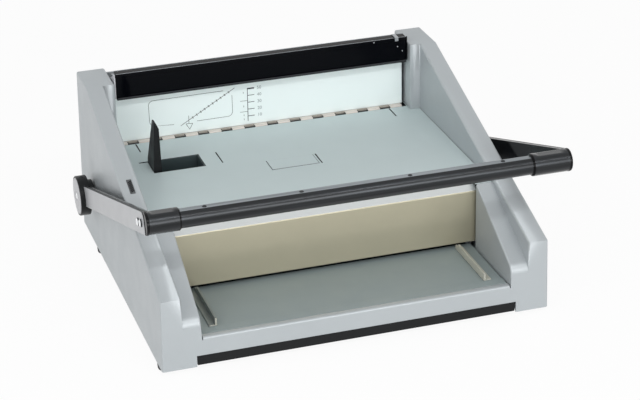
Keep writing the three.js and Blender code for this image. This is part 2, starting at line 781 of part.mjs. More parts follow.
// Chip tray under the sill
const chipTrayHalf = chipBayHalf - runningGap * 2;
const chipTrayRear = chipTrayRecess + chipTrayLength;
const chipTrayTop = chipTrayLift + chipTrayHeight;
const chipHollow = block(-chipTrayHalf + chipTrayWall, chipTrayHalf - chipTrayWall,
  chipTrayRecess + chipTrayWall,
  chipTrayRear - chipTrayWall, chipTrayLift + chipTrayWall, chipTrayTop + overrun);
piece('chip_tray', cut(block(-chipTrayHalf, chipTrayHalf, chipTrayRecess, chipTrayRear, chipTrayLift,
  chipTrayTop),
  chipHollow), blackPlastic);

// Side plates carry the die, the shafts and the deck
const sidePlateFront = dieFront;
const sidePlateRear = rearPanelFront - fixedGap;
const sidePlateStand = basePlateTop + fixedGap;
const sidePlateHeel = basePlateFront;
const sidePlateOutline = [
  [sidePlateFront, sidePlateFrontLift],
  [sidePlateHeel, sidePlateFrontLift],
  [sidePlateHeel, sidePlateStand],
  [sidePlateRear, sidePlateStand],
  [sidePlateRear, sidePlateTop],
  [sidePlateFront + sidePlateChamfer, sidePlateTop],
  [sidePlateFront, sidePlateTop - sidePlateChamfer],
];
const rollerSlot = rollerRadius + runningGap;
for (const { name, sign } of sides) {
  const plate = prism('x', sidePlateOutline, sign * sidePlateInner, sign * sidePlateOuter);
  const from = sign * (sidePlateInner - overrun);
  const to = sign * (sidePlateOuter + overrun);
  const bushHole = rod('x', bushRadius + fixedGap, from, to, pivotY, pivotZ);
  const pinionHole = rod('x', pinionShaftRadius + runningGap, from, to, pinionY, pinionHeight, coarseSides);
  const slot = block(from, to, punchLineY - rollerSlot, punchLineY + rollerSlot,
    rollerZ - punchTravel - rollerSlot, rollerZ + rollerSlot);
  piece(`${name}_side_plate`, cut(plate, bushHole, pinionHole, slot), sheetSteel);
  const bush = join(
    rod('x', bushRadius, sign * (sidePlateInner - bushFlangeThickness), sign * sidePlateOuter, pivotY,
      pivotZ),
    rod('x', bushFlangeRadius, sign * (sidePlateInner - fixedGap),
      sign * (sidePlateInner - fixedGap - bushFlangeThickness), pivotY, pivotZ),
  );
  const bore = rod('x', shaftRadius + fixedGap, sign * (sidePlateInner - overrun), to, pivotY, pivotZ);
  piece(`${name}_shaft_bush`, bush.subtract(bore), bronze);
}

// Die plate and punch guide, with one hole for each punch
const dieHalf = sidePlateInner - fixedGap;
const dieRear = dieFront + dieDepth;
const throatRear = dieFront + throatDepth;
const punchHoles = [];
const punchPins = [];
for (let index = 0; index < slotCount; index += 1) {
  const x = firstSlotX + slotPitch * index;
  punchHoles.push(rod('z', punchRadius + punchHoleGap, 0, ramBottom, x, punchLineY, punchSides));
  punchPins.push(rod('z', punchRadius, pinHolderBottom - punchLength, pinHolderTop, x, punchLineY,
    punchSides));
}
piece('die_plate', cut(block(-dieHalf, dieHalf, dieFront, dieRear, dieTop - dieThickness, dieTop),
  ...punchHoles),
  toolSteel);
const punchGuideBlock = block(-dieHalf, dieHalf, dieFront, dieRear, guideBottom, guideTop);
const throatStop = block(-dieHalf, dieHalf, throatRear, dieRear, dieTop + fixedGap,
  guideBottom + overrun / 2);
piece('punch_guide', cut(join(punchGuideBlock, throatStop), ...punchHoles), toolSteel);

// Punch pins in their holder, and the ram above it with a roller pin at each end
piece('punch_pin_row', join(block(-punchHalf, punchHalf, punchLineY - pinHolderDepth / 2,
  punchLineY + pinHolderDepth / 2, pinHolderBottom, pinHolderTop), ...punchPins), toolSteel);
const ramBeam = block(-ramHalf, ramHalf, punchLineY - ramDepth / 2, punchLineY + ramDepth / 2, ramBottom,
  ramBottom + ramHeight);
const ramRollers = sides.map(({ sign }) => rod('x', rollerRadius, sign * (ramHalf - overrun),
  sign * (camPlateOuter - fixedGap), punchLineY, rollerZ, coarseSides));
piece('punch_ram', join(ramBeam, ...ramRollers), toolSteel);

// Cam plates: the shaft's cranks draw them back, and their slanted slots push the ram down
const crankHalfAngle = punchAngle / 2;
const crankPinY = pivotY - punchTravelRadius * Math.sin(crankHalfAngle);
const crankPinZ = pivotZ - punchTravelRadius * Math.cos(crankHalfAngle);
const camFront = punchLineY - punchTravel - rollerSlot - camPlateMargin;
const camRear = crankPinY + crankPinRadius + camPlateMargin * 2;
const camHeadRear = punchLineY + rollerSlot + camPlateMargin * 2;
const camHeadTop = rollerZ + rollerSlot + camPlateMargin;
const camRailTop = camRailBottom + camRailHeight;
const camOutline = [
  [camFront, camRailBottom],
  [camRear, camRailBottom],
  [camRear, camRailTop],
  [camHeadRear, camRailTop],
  [camHeadRear, camHeadTop],
  [camFront + camPlateMargin, camHeadTop],
  [camFront, camHeadTop - camPlateMargin],
];
const slantOutline = [
  ...arc(punchLineY, rollerZ, rollerSlot, -Math.PI / 4, Math.PI * 3 / 4),
  ...arc(punchLineY - punchTravel, rollerZ - punchTravel, rollerSlot, Math.PI * 3 / 4, Math.PI * 7 / 4),
];
const crankSlot = crankPinRadius + runningGap;
const crankSlotRise = crankSlot * crankSlotShare;
for (const { name, sign } of sides) {
  const plate = prism('x', camOutline, sign * camPlateInner, sign * camPlateOuter);
  const from = sign * (camPlateInner - overrun);
  const to = sign * (camPlateOuter + overrun);
  const slant = prism('x', slantOutline, from, to);
  const upright = block(from, to, crankPinY - crankSlot, crankPinY + crankSlot, crankPinZ - crankSlotRise,
    crankPinZ + crankSlotRise);
  piece(`${name}_cam_plate`, cut(plate, slant, upright), sheetSteel);
}

// Handle shaft with its cranks
const shaftHalf = hubInnerX + hubBoreDepth;
piece('handle_shaft', rod('x', shaftRadius, -shaftHalf, shaftHalf, pivotY, pivotZ), toolSteel);
for (const { name, sign } of sides) {
  const ring = rod('x', crankRingRadius, sign * crankInner, sign * crankOuter, pivotY, pivotZ);
  const eye = rod('x', crankEyeRadius, sign * crankInner, sign * crankOuter, crankPinY, crankPinZ,
    coarseSides);
  const web = prism('x', [
    [pivotY - crankEyeRadius, pivotZ], [crankPinY - crankEyeRadius, crankPinZ],
    [crankPinY + crankEyeRadius, crankPinZ], [pivotY + crankEyeRadius, pivotZ],
  ], sign * crankInner, sign * crankOuter);
  const pin = rod('x', crankPinRadius, sign * camPlateInner, sign * (crankInner + crankThickness / 2),
    crankPinY,
    crankPinZ, coarseSides);
  const bore = rod('x', shaftRadius + fixedGap, sign * camPlateInner, sign * (crankOuter + overrun),
    pivotY, pivotZ);
  piece(`${name}_crank`, join(ring, eye, web).subtract(bore).add(pin), toolSteel);
}

// Handle hubs, caps, arms, bar and grips
const collarInnerX = casingHalf + runningGap;
for (const { name, sign } of sides) {
  const rim = rod('x', hubRadius, sign * hubInnerX, sign * hubOuterX, pivotY, pivotZ);
  const collar = rod('x', hubCollarRadius, sign * collarInnerX, sign * (hubInnerX + fixedGap), pivotY,
    pivotZ);
  const bore = rod('x', shaftRadius + fixedGap, sign * casingHalf, sign * (shaftHalf + fixedGap), pivotY,
    pivotZ);
  const capSeat = rod('x', hubCapRadius + fixedGap, sign * (hubOuterX - hubCapThickness),
    sign * (hubOuterX + overrun), pivotY, pivotZ);
  piece(`${name}_hub`, cut(join(rim, collar), bore, capSeat), blackPlastic);
  piece(`${name}_hub_cap`, rod('x', hubCapRadius, sign * (hubOuterX - hubCapThickness + fixedGap),
    sign * (hubOuterX + fixedGap), pivotY, pivotZ), capPlastic);
}

const armHalf = armWidth / 2;
const armTip = -armReach - armOverBar;
const armOutline = [
  ...arc(0, 0, armHalf, Math.PI / 2, -Math.PI / 2, arcSteps * 2),
  ...arc(armTip + armLowCorner, armLowCorner - armHalf, armLowCorner, -Math.PI / 2, -Math.PI),
  ...arc(armTip + armTopCorner, armHalf - armTopCorner, armTopCorner, -Math.PI, -Math.PI * 3 / 2),
];
const turnedArm = armOutline.map(([along, across]) => {
  const cosine = Math.cos(armRise);
  const sine = Math.sin(armRise);
  return [pivotY + along * cosine + across * sine, pivotZ - along * sine + across * cosine];
});
for (const { name, sign } of sides) {
  const hubClear = rod('x', hubRadius + fixedGap, sign * casingHalf, sign * (hubOuterX + overrun),
    pivotY, pivotZ);
  const skinInner = armOuterX - armSkin;
  piece(`${name}_arm`, prism('x', turnedArm, sign * skinInner, sign * armOuterX).subtract(hubClear),
    armPaint);
  piece(`${name}_arm_lining`, prism('x', turnedArm, sign * armInnerX, sign * (skinInner - fixedGap))
    .subtract(hubClear), blackPlastic);
}

const gripOuterX = armInnerX - fixedGap;
const flatHeight = barZ + barRadius - barFlatDrop;
const barFlat = block(-barHalf - overrun, barHalf + overrun, barY - barRadius, barY + barRadius, flatHeight,
  flatHeight + overrun);
const spigot = rod('x', spigotRadius, -gripOuterX + fixedGap, gripOuterX - fixedGap, barY, barZ);
const barBody = rod('x', barRadius, -barHalf, barHalf, barY, barZ).subtract(barFlat);
piece('handle_bar', barBody.add(spigot), barMetal);
for (const { name, sign } of sides) {
  const sleeve = rod('x', gripRadius, sign * (barHalf + fixedGap), sign * gripOuterX, barY, barZ);
  const flange = rod('x', gripFlangeRadius, sign * (gripOuterX - gripFlangeWidth), sign * gripOuterX,
    barY, barZ);
  const bore = rod('x', spigotRadius + fixedGap, sign * (barHalf - overrun), sign * (gripOuterX + overrun),
    barY, barZ);
  piece(`${name}_grip`, join(sleeve, flange).subtract(bore), blackPlastic);
}

// Press head: a beam with a top lip and a lower lip, hung between two arm plates
const headRear = headFront + headThickness;
const faceY = headFront + headFaceSetback;
const headOutline = [
  [headFront, headBottom],
  [headRear, headBottom],
  [headRear, headTop],
  [headFront - headLipProud + headFaceSetback, headTop],
  [headFront - headLipProud + headFaceSetback, headTop - headTopLip],
  [faceY, headTop - headTopLip],
  [faceY, headBottom + headBottomLip],
  [headFront, headBottom + headBottomLip],
];
piece('press_head', prism('x', headOutline, -headHalf, headHalf), glossBlack);
for (const { name, sign } of sides) {
  piece(`${name}_head_arm`, block(sign * headArmInner, sign * headArmOuter, headFront + headFaceSetback,
    rackFront + rackBack, headArmBottom, headArmTop), capPlastic);
}

// Racks on the arm plates, with teeth that face the rear
const toothTip = rackPitchLine + toothModule;
const toothRoot = rackFront + rackBack - toothModule * rootClearanceShare;
const tipHalf = toothPitch / 4 - toothModule * Math.tan(pressureAngle) - toothThinning;
const rootHalf = toothPitch / 4 + (rackPitchLine - toothRoot) * Math.tan(pressureAngle) - toothThinning;
const teethBelow = Math.floor((pinionHeight - rackBottom) / toothPitch) - 1;
const teethAbove = Math.ceil((headTravel + pinionHeight - rackBottom) / toothPitch);
const rackTeeth = [];
for (let index = -teethBelow; index < teethAbove; index += 1) {
  const z = pinionHeight + toothPitch * index + toothPitch / 2;
  rackTeeth.push([toothRoot, z - rootHalf], [toothTip, z - tipHalf], [toothTip, z + tipHalf], [toothRoot,
    z + rootHalf]);
}
const rackOutline = [[rackFront, rackBottom], [toothRoot, rackBottom], ...rackTeeth, [toothRoot, headArmTop],
  [rackFront, headArmTop]];
for (const { name, sign } of sides) {
  piece(`${name}_rack`, prism('x', rackOutline, sign * (rackOuter - rackWidth), sign * rackOuter),
    toolSteel);
}

// Pinion shaft and pinions. One tooth points at the rack at rest.
const pinionTipHalf = (toothPitch / 4 - toothThinning) / (pitchRadius + toothModule) / 2;
const pinionPitchHalf = (toothPitch / 4 - toothThinning) / pitchRadius;
const pinionRootHalf = pinionPitchHalf * rootWidthShare;
const pinionRoot = pitchRadius - toothModule * (1 + rootClearanceShare);
const pinionOutline = [];
for (let tooth = 0; tooth < pinionTeeth; tooth += 1) {
  const middle = Math.PI + tooth * Math.PI * 2 / pinionTeeth;
  const ring = [
    [pinionRoot, -pinionRootHalf],
    [pitchRadius, -pinionPitchHalf],
    [pitchRadius + toothModule, -pinionTipHalf],
    [pitchRadius + toothModule, pinionTipHalf],
    [pitchRadius, pinionPitchHalf],
    [pinionRoot, pinionRootHalf],
  ];
  for (const [radius, turn] of ring) {
    pinionOutline.push([pinionY + radius * Math.cos(middle + turn),
      pinionHeight + radius * Math.sin(middle + turn)]);
  }
}
const pinionOuter = rackOuter + fixedGap;
const pinionShaftHalf = pinionOuter + overrun;
piece('pinion_shaft', rod('x', pinionShaftRadius, -pinionShaftHalf, pinionShaftHalf, pinionY, pinionHeight,
  coarseSides), toolSteel);
for (const { name, sign } of sides) {
  const wheel = prism('x', pinionOutline, sign * (sidePlateOuter + runningGap), sign * pinionOuter);
  const bore = rod('x', pinionShaftRadius + fixedGap, sign * (sidePlateOuter - overrun),
    sign * (pinionOuter + overrun), pinionY, pinionHeight, coarseSides);
  piece(`${name}_pinion`, wheel.subtract(bore), toolSteel);
}

// Gearbox round the pinion shaft, and the motor on its side
const gearboxBore = rod('x', pinionShaftRadius + runningGap, gearboxX - gearboxWidth,
  gearboxX + gearboxWidth,
  pinionY, pinionHeight, coarseSides);
piece('gearbox', block(gearboxX - gearboxWidth / 2, gearboxX + gearboxWidth / 2, gearboxFront,
  gearboxRear, basePlateTop + fixedGap, gearboxHeight).subtract(gearboxBore), coilIron);
const motorRight = gearboxX - gearboxWidth / 2 - fixedGap;
piece('press_motor', rod('x', motorRadius, motorRight - motorLength, motorRight, motorY, motorZ, fineSides),
  sheetSteel);

// Transformer and control board on the base plate
const floorTop = basePlateTop + fixedGap;
piece('transformer', block(transformerX - transformerWidth / 2, transformerX + transformerWidth / 2,
  transformerY - transformerDepth / 2, transformerY + transformerDepth / 2, floorTop,
  floorTop + transformerHeight), coilIron);
const board = block(boardX - boardWidth / 2, boardX + boardWidth / 2, boardY - boardDepth / 2,
  boardY + boardDepth / 2, floorTop + boardLift, floorTop + boardLift + boardThickness);
const standoffs = [];
for (const acrossSign of [-1, 1]) {
  for (const alongSign of [-1, 1]) {
    standoffs.push(rod('z', standoffRadius, floorTop, floorTop + boardLift + boardThickness / 2,
      boardX + acrossSign * (boardWidth / 2 - standoffRadius * 2),
      boardY + alongSign * (boardDepth / 2 - standoffRadius * 2), punchSides));
  }
}
piece('control_board', join(board, ...standoffs), boardGreen);

// The origin goes under the middle of the machine, on the surface that the feet stand on
const frontMost = barY - gripFlangeRadius;
const rearMost = casingDepth + fixedGap + inletFlangeThickness;
machine.position.set(0, -(frontMost + rearMost) / 2, footDrop);

const model = new THREE.Group();
model.add(machine);
model.name = 'strip_binding_machine';
export default model;
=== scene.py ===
# Looks of the strip binding machine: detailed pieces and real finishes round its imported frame.
import json
import math

import bmesh
import bpy
from bpy.props import FloatProperty, FloatVectorProperty, IntProperty, PointerProperty
from mathutils import Matrix, Vector


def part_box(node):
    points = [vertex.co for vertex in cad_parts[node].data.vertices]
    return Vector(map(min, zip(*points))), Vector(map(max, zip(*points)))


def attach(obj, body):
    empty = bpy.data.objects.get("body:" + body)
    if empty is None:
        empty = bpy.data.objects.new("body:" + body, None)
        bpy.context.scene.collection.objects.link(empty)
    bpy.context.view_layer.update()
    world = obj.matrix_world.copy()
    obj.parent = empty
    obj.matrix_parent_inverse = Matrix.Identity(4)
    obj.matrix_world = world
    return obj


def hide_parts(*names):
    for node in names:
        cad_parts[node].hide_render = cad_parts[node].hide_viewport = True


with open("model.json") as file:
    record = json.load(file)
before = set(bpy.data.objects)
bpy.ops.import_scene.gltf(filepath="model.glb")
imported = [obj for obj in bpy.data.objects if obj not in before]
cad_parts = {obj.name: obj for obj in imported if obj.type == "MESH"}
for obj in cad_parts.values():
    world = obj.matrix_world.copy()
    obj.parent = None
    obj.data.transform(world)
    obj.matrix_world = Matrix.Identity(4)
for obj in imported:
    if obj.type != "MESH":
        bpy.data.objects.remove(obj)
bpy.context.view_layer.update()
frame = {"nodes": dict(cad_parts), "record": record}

bl_info = {
    "name": "Strip binding machine",
    "version": (1, 0, 0),
    "blender": (4, 5, 0),
    "location": "View3D > Sidebar > Binder",
    "description": "Builds the looks of a desktop strip binding machine round its packed frame",
    "category": "Object",
}

CASING_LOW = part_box("main_casing")[0]
SIDES = (("left", -1), ("right", 1))

# Places on the machine in millimetres, behind the casing's front and above its lower edge
RIDGE_SLOPE = math.atan(111.5 / 339)
PIVOT = (322, 68)
ARM_RISE = math.radians(18.6)
ARM_REACH = 354.5
BAR = (PIVOT[0] - ARM_REACH * math.cos(ARM_RISE), PIVOT[1] + ARM_REACH * math.sin(ARM_RISE))
BAR_RADIUS = 10.2
BAR_FLAT = 9.4
HEAD_HALF = 178
PRINT_FRONT = 359.58
PRINT_BACK = 359.75

# The photograph's camera: its place in millimetres, its turns in degrees and its focal length in pixels
CAMERA_PLACE = (-620.2, -1854.6, 1067.1)
CAMERA_TURNS = (17.32, 24.76, -1.228)
FOCAL_PIXELS = 2068.06
PHOTO_WIDTH = 640


def at(x, y, z):
    """The frame's point for a place in millimetres on the machine."""
    return Vector((x / 1000, CASING_LOW.y + y / 1000, CASING_LOW.z + z / 1000))


def linear(code):
    """An sRGB hex colour as linear red, green and blue."""
    values = [int(code[k:k + 2], 16) / 255 for k in (1, 3, 5)]
    return [v / 12.92 if v <= 0.04045 else ((v + 0.055) / 1.055) ** 2.4 for v in values]


def colour_property(name, description, code):
    return FloatVectorProperty(name=name, description=description, default=linear(code), subtype="COLOR",
                               size=3, min=0, max=1)


def length_property(name, description, metres):
    return FloatProperty(name=name, description=description, default=metres, min=0, unit="LENGTH",
                         precision=5)


class BinderColours(bpy.types.PropertyGroup):
    casing: colour_property("Casing", "Silver-grey moulding", "#AEB4B7")
    deck: colour_property("Deck", "Grey-green deck plate", "#CAD8D9")
    panel: colour_property("Back panel", "White board behind the deck", "#EEF8F7")
    rail: colour_property("Slot rail", "Cream strip with the slots", "#E2DAD2")
    cover: colour_property("Cover face", "Champagne lacquer of the front cover", "#B5B09A")
    painted_sheen_band: colour_property("Cover band", "Silver band above the cover face", "#CBCFCF")
    bar: colour_property("Handle bar", "Dark metallic lacquer", "#1D2023")
    arm: colour_property("Handle arm", "Light grey paint", "#A9ABAE")
    cap: colour_property("Caps", "Light grey moulded caps", "#B5B6BA")
    black: colour_property("Black parts", "Black moulded parts", "#101214")
    tray: colour_property("Paper tray", "Grey-green tray", "#8C9899")
    guide: colour_property("Edge guide", "Pale edge guide", "#C9C9BD")
    ink: colour_property("Print", "Scale printed on the back panel", "#3C4446")
    numbers: colour_property("Numbers", "Numbers printed beside the scale", "#8B9799")


class BinderSizes(bpy.types.PropertyGroup):
    casing_round: length_property("Casing edges", "Radius of the casing's long edges", 0.0022)
    deck_round: length_property("Deck edges", "Radius of the deck's edges and grooves", 0.00035)
    arm_round: length_property("Arm edges", "Radius of the handle arms' edges", 0.0009)
    screw_radius: length_property("Screw radius", "Radius of the handle's screw heads", 0.0046)
    screw_height: length_property("Screw height", "Height of the handle's screw heads", 0.0016)
    line_width: length_property("Line width", "Width of the printed scale's lines", 0.0006)
    slot_count: IntProperty(name="Slots", description="Slots of the strip rail", default=12, min=1)
    slot_pitch: length_property("Slot pitch", "Distance from slot to slot", 0.0286)
    slot_length: length_property("Slot length", "Length of each slot", 0.0136)


class BinderStudio(bpy.types.PropertyGroup):
    key_power: FloatProperty(name="Key lamp", description="Power of the large lamp on the left", default=26,
                             min=0, unit="POWER")
    fill_power: FloatProperty(name="Fill lamp", description="Power of the low lamp in front", default=20,
                              min=0, unit="POWER")
    strip_power: FloatProperty(name="Strip lamp", description="Power of the long lamp in front and above",
                               default=20, min=0, unit="POWER")
    room_light: FloatProperty(name="Room light", description="Strength of the even light all round",
                              default=0.7, min=0)


# Node trees

def add(tree, kind, inputs=None, **settings):
    """Adds a node with its settings, and sets or links its inputs. A node stands for its first output."""
    made = tree.nodes.new(kind)
    for name, value in settings.items():
        setattr(made, name, value)
    for name, value in (inputs or {}).items():
        socket = made.inputs[name]
        if isinstance(value, bpy.types.Node):
            value = value.outputs[0]
        if isinstance(value, bpy.types.NodeSocket):
            tree.links.new(value, socket)
        else:
            socket.default_value = value
    return made


def geometry_tree(name, sizes):
    """An empty geometry tree with named inputs, and its input node."""
    tree = bpy.data.node_groups.new(name, "GeometryNodeTree")
    tree.interface.new_socket("Geometry", in_out="INPUT", socket_type="NodeSocketGeometry")
    for label, kind in sizes.items():
        tree.interface.new_socket(label, in_out="INPUT", socket_type=f"NodeSocket{kind}")
    tree.interface.new_socket("Finish", in_out="INPUT", socket_type="NodeSocketMaterial")
    tree.interface.new_socket("Geometry", in_out="OUTPUT", socket_type="NodeSocketGeometry")
    return tree, add(tree, "NodeGroupInput").outputs


def close_tree(tree, given, geometry):
    """Ends a geometry tree with real geometry in its finish."""
    real = add(tree, "GeometryNodeRealizeInstances", {"Geometry": geometry})
    dressed = add(tree, "GeometryNodeSetMaterial", {"Geometry": real, "Material": given["Finish"]})
    add(tree, "NodeGroupOutput", {"Geometry": dressed})
    return tree


def screw_tree():
    """Screw heads with a socket, standing on points and facing along each point's direction."""
    tree, given = geometry_tree("screw heads", {
        "Radius": "Float", "Height": "Float", "Socket": "Float", "Socket sides": "Int"})
    upper = add(tree, "ShaderNodeMath", {0: given["Radius"], 1: 0.8}, operation="MULTIPLY")
    head = add(tree, "GeometryNodeMeshCone", {
        "Vertices": 32, "Radius Top": upper, "Radius Bottom": given["Radius"], "Depth": given["Height"]})
    socket = add(tree, "GeometryNodeMeshCylinder", {
        "Vertices": given["Socket sides"], "Radius": given["Socket"], "Depth": given["Height"]})
    lift = add(tree, "ShaderNodeCombineXYZ", {"Z": given["Height"]})
    raised = add(tree, "GeometryNodeTransform", {"Geometry": socket, "Translation": lift})
    recessed = add(tree, "GeometryNodeMeshBoolean", {"Mesh 1": head, "Mesh 2": raised},
                   operation="DIFFERENCE", solver="EXACT")
    facing = add(tree, "GeometryNodeInputNamedAttribute", {"Name": "facing"}, data_type="FLOAT_VECTOR")
    turn = add(tree, "FunctionNodeAlignRotationToVector", {"Vector": facing}, axis="Z")
    heads = add(tree, "GeometryNodeInstanceOnPoints", {
        "Points": given["Geometry"], "Instance": recessed, "Rotation": turn})
    return close_tree(tree, given, heads)


def bar_row_tree():
    """Bars of one size in a row, as for ticks, ribs, pins and strip catches."""
    tree, given = geometry_tree("row of bars", {
        "Count": "Int", "First": "Vector", "Step": "Vector", "Size": "Vector", "Turn": "Vector"})
    line = add(tree, "GeometryNodeMeshLine", {
        "Count": given["Count"], "Start Location": given["First"], "Offset": given["Step"]})
    cube = add(tree, "GeometryNodeMeshCube", {"Size": (1, 1, 1)})
    moved = add(tree, "GeometryNodeTransform", {"Geometry": cube, "Translation": (0.5, 0, 0)})
    bars = add(tree, "GeometryNodeInstanceOnPoints", {
        "Points": line, "Instance": moved, "Rotation": given["Turn"], "Scale": given["Size"]})
    return close_tree(tree, given, bars)


def comb_tree():
    """A rail with a row of notches, open at its front edge."""
    tree, given = geometry_tree("slotted rail", {
        "Rail": "Vector", "Centre": "Vector", "Notch": "Vector", "Count": "Int", "First": "Vector",
        "Step": "Vector"})
    rail = add(tree, "GeometryNodeMeshCube", {"Size": given["Rail"]})
    placed = add(tree, "GeometryNodeTransform", {"Geometry": rail, "Translation": given["Centre"]})
    notch = add(tree, "GeometryNodeMeshCube", {"Size": given["Notch"]})
    line = add(tree, "GeometryNodeMeshLine", {
        "Count": given["Count"], "Start Location": given["First"], "Offset": given["Step"]})
    notches = add(tree, "GeometryNodeInstanceOnPoints", {"Points": line, "Instance": notch})
    solid = add(tree, "GeometryNodeRealizeInstances", {"Geometry": notches})
    cut = add(tree, "GeometryNodeMeshBoolean", {"Mesh 1": placed, "Mesh 2": solid},
              operation="DIFFERENCE", solver="EXACT")
    return close_tree(tree, given, cut)


# Mesh work

def show(name, mesh):
    piece = bpy.data.objects.new(name, mesh)
    bpy.context.scene.collection.objects.link(piece)
    return piece


def settle(piece):
    """Turns a piece's modifiers into plain mesh."""
    evaluated = piece.evaluated_get(bpy.context.evaluated_depsgraph_get())
    mesh = bpy.data.meshes.new_from_object(evaluated)
    piece.modifiers.clear()
    spent = piece.data
    piece.data = mesh
    bpy.data.meshes.remove(spent)


def shade(piece, degrees=34):
    """Smooths faces up to an angle, with flat faces kept flat."""
    piece.data.shade_smooth()
    piece.data.set_sharp_from_angle(angle=math.radians(degrees))
    weights = piece.modifiers.new("flat faces", "WEIGHTED_NORMAL")
    weights.keep_sharp = True
    settle(piece)


def make(name, shape, finishes, body, nodes=()):
    """Makes a piece from mesh work, and lets it ride on its body."""
    bmesh.ops.recalc_face_normals(shape, faces=shape.faces)
    mesh = bpy.data.meshes.new(name)
    shape.to_mesh(mesh)
    shape.free()
    for finish in finishes:
        mesh.materials.append(finish)
    piece = show(name, mesh)
    shade(piece)
    place(piece, body, nodes)
    return piece


def place(piece, body, nodes=()):
    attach(piece, body)
    if nodes:
        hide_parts(*nodes)


def grow(name, tree, sizes, finish, points=()):
    """Evaluates a node tree, on some points where it needs them, and keeps the plain mesh."""
    mesh = bpy.data.meshes.new(name)
    mesh.from_pydata([spot for spot, direction in points], [], [])
    facing = mesh.attributes.new("facing", "FLOAT_VECTOR", "POINT")
    for item, (spot, direction) in zip(facing.data, points):
        item.vector = direction
    piece = show(name, mesh)
    modifier = piece.modifiers.new("shape", "NODES")
    modifier.node_group = tree
    values = {**sizes, "Finish": finish}
    for item in tree.interface.items_tree:
        if item.item_type == "SOCKET" and item.in_out == "INPUT" and item.name in values:
            modifier[item.identifier] = values[item.name]
    settle(piece)
    return piece


def bar_row(name, count, first, step, size, finish, turn=(0, 0, 0)):
    """A row of like bars, each reaching along X from its place."""
    tree = bpy.data.node_groups.get("row of bars") or bar_row_tree()
    return grow(name, tree, {"Count": count, "First": first, "Step": step, "Size": size, "Turn": turn},
                finish)


def screws(name, body, radius, height, socket, sides, finish, points):
    """Screw heads on points, each facing along its point's direction."""
    tree = bpy.data.node_groups.get("screw heads") or screw_tree()
    heads = grow(name, tree, {"Radius": radius, "Height": height, "Socket": socket, "Socket sides": sides},
                 finish, points)
    shade(heads)
    place(heads, body)


def cad_copy(node):
    """A merged copy of a node's mesh, with its flat faces joined up."""
    shape = bmesh.new()
    shape.from_mesh(frame["nodes"][node].data)
    bmesh.ops.remove_doubles(shape, verts=shape.verts, dist=2e-6)
    bmesh.ops.dissolve_limit(shape, angle_limit=math.radians(0.4), verts=shape.verts, edges=shape.edges)
    return shape


def soften(shape, radius, length=0.004, angle=25, steps=3, keep=None, clamp=True):
    """Rounds a shape's outward edges that are long and sharp enough."""
    bmesh.ops.recalc_face_normals(shape, faces=shape.faces)
    chosen = []
    for edge in shape.edges:
        if len(edge.link_faces) == 2 and edge.calc_length() >= length:
            if edge.calc_face_angle_signed(0) > math.radians(angle) and (keep is None or keep(edge)):
                chosen.append(edge)
    bmesh.ops.bevel(shape, geom=chosen, offset=radius, offset_type="OFFSET", segments=steps, profile=0.5,
                    affect="EDGES", clamp_overlap=clamp, material=-1)
    return shape


def softened(node, radius, finishes, body, slot_name, choose=None, move=None, **choice):
    """A node's own shape with rounded edges, after moving some of its corners where a mover is given."""
    shape = cad_copy(node)
    for vert in shape.verts if move else ():
        vert.co = move(vert.co)
    soften(shape, radius, **choice)
    if choose:
        paint(shape, choose)
    return make(node + "_shape", shape, finishes, body, (node,))


def paint(shape, choose):
    """Gives each face the finish whose number the chooser returns for it."""
    bmesh.ops.recalc_face_normals(shape, faces=shape.faces)
    shape.normal_update()
    for face in shape.faces:
        face.material_index = choose(face)


def turned(profile, spot, sides=72, closed=False):
    """A shape turned from (along, radius) pairs. The spot function places along and the two ways across."""
    shape = bmesh.new()
    rings = []
    for along, radius in profile:
        if radius == 0:
            rings.append([shape.verts.new(spot(along, 0, 0))])
            continue
        turns = [math.tau * k / sides for k in range(sides)]
        places = [spot(along, radius * math.cos(t), radius * math.sin(t)) for t in turns]
        rings.append([shape.verts.new(point) for point in places])
    pairs = list(zip(rings, rings[1:]))
    if closed:
        pairs.append((rings[-1], rings[0]))
    for first, second in pairs:
        for k in range(sides):
            corners = [first[k % len(first)], first[(k + 1) % len(first)],
                       second[(k + 1) % len(second)], second[k % len(second)]]
            corners = list(dict.fromkeys(corners))
            if len(corners) > 2:
                shape.faces.new(corners)
    return shape


def extruded(outline, low, high, spot):
    """An outline of (u, v) points carried from low to high. The spot function places along, u and v."""
    shape = bmesh.new()
    ends = [[shape.verts.new(spot(along, u, v)) for u, v in outline] for along in (low, high)]
    count = len(outline)
    for k in range(count):
        shape.faces.new([ends[0][k], ends[0][(k + 1) % count], ends[1][(k + 1) % count], ends[1][k]])
    shape.faces.new(ends[0])
    shape.faces.new(list(reversed(ends[1])))
    bmesh.ops.recalc_face_normals(shape, faces=shape.faces)
    return shape


def blocked(x0, x1, y0, y1, z0, z1):
    return extruded([(y0, z0), (y1, z0), (y1, z1), (y0, z1)], x0, x1, at)


def arc(u, v, radius, start, end, steps=6):
    turns = [math.radians(start + (end - start) * k / steps) for k in range(steps + 1)]
    return [(u + radius * math.cos(t), v + radius * math.sin(t)) for t in turns]


def ribbon(shape, path, width):
    """Adds a printed line through (x, z) points in millimetres, standing a hair off the back panel."""
    points = [Vector(point) for point in path]
    edges = []
    for k, point in enumerate(points):
        before = (point - points[k - 1]).normalized() if k else None
        after = (points[k + 1] - point).normalized() if k + 1 < len(points) else None
        along = ((before or after) + (after or before)).normalized()
        aside = Vector((-along.y, along.x)) * width * 500 / max(0.5, along.dot(before or after))
        corners = ((point + aside, PRINT_FRONT), (point - aside, PRINT_FRONT),
                   (point - aside, PRINT_BACK), (point + aside, PRINT_BACK))
        edges.append([shape.verts.new(at(spot.x, depth, spot.y)) for spot, depth in corners])
    for first, second in zip(edges, edges[1:]):
        for k in range(4):
            shape.faces.new([first[k], first[(k + 1) % 4], second[(k + 1) % 4], second[k]])
    shape.faces.new(edges[0])
    shape.faces.new(list(reversed(edges[-1])))


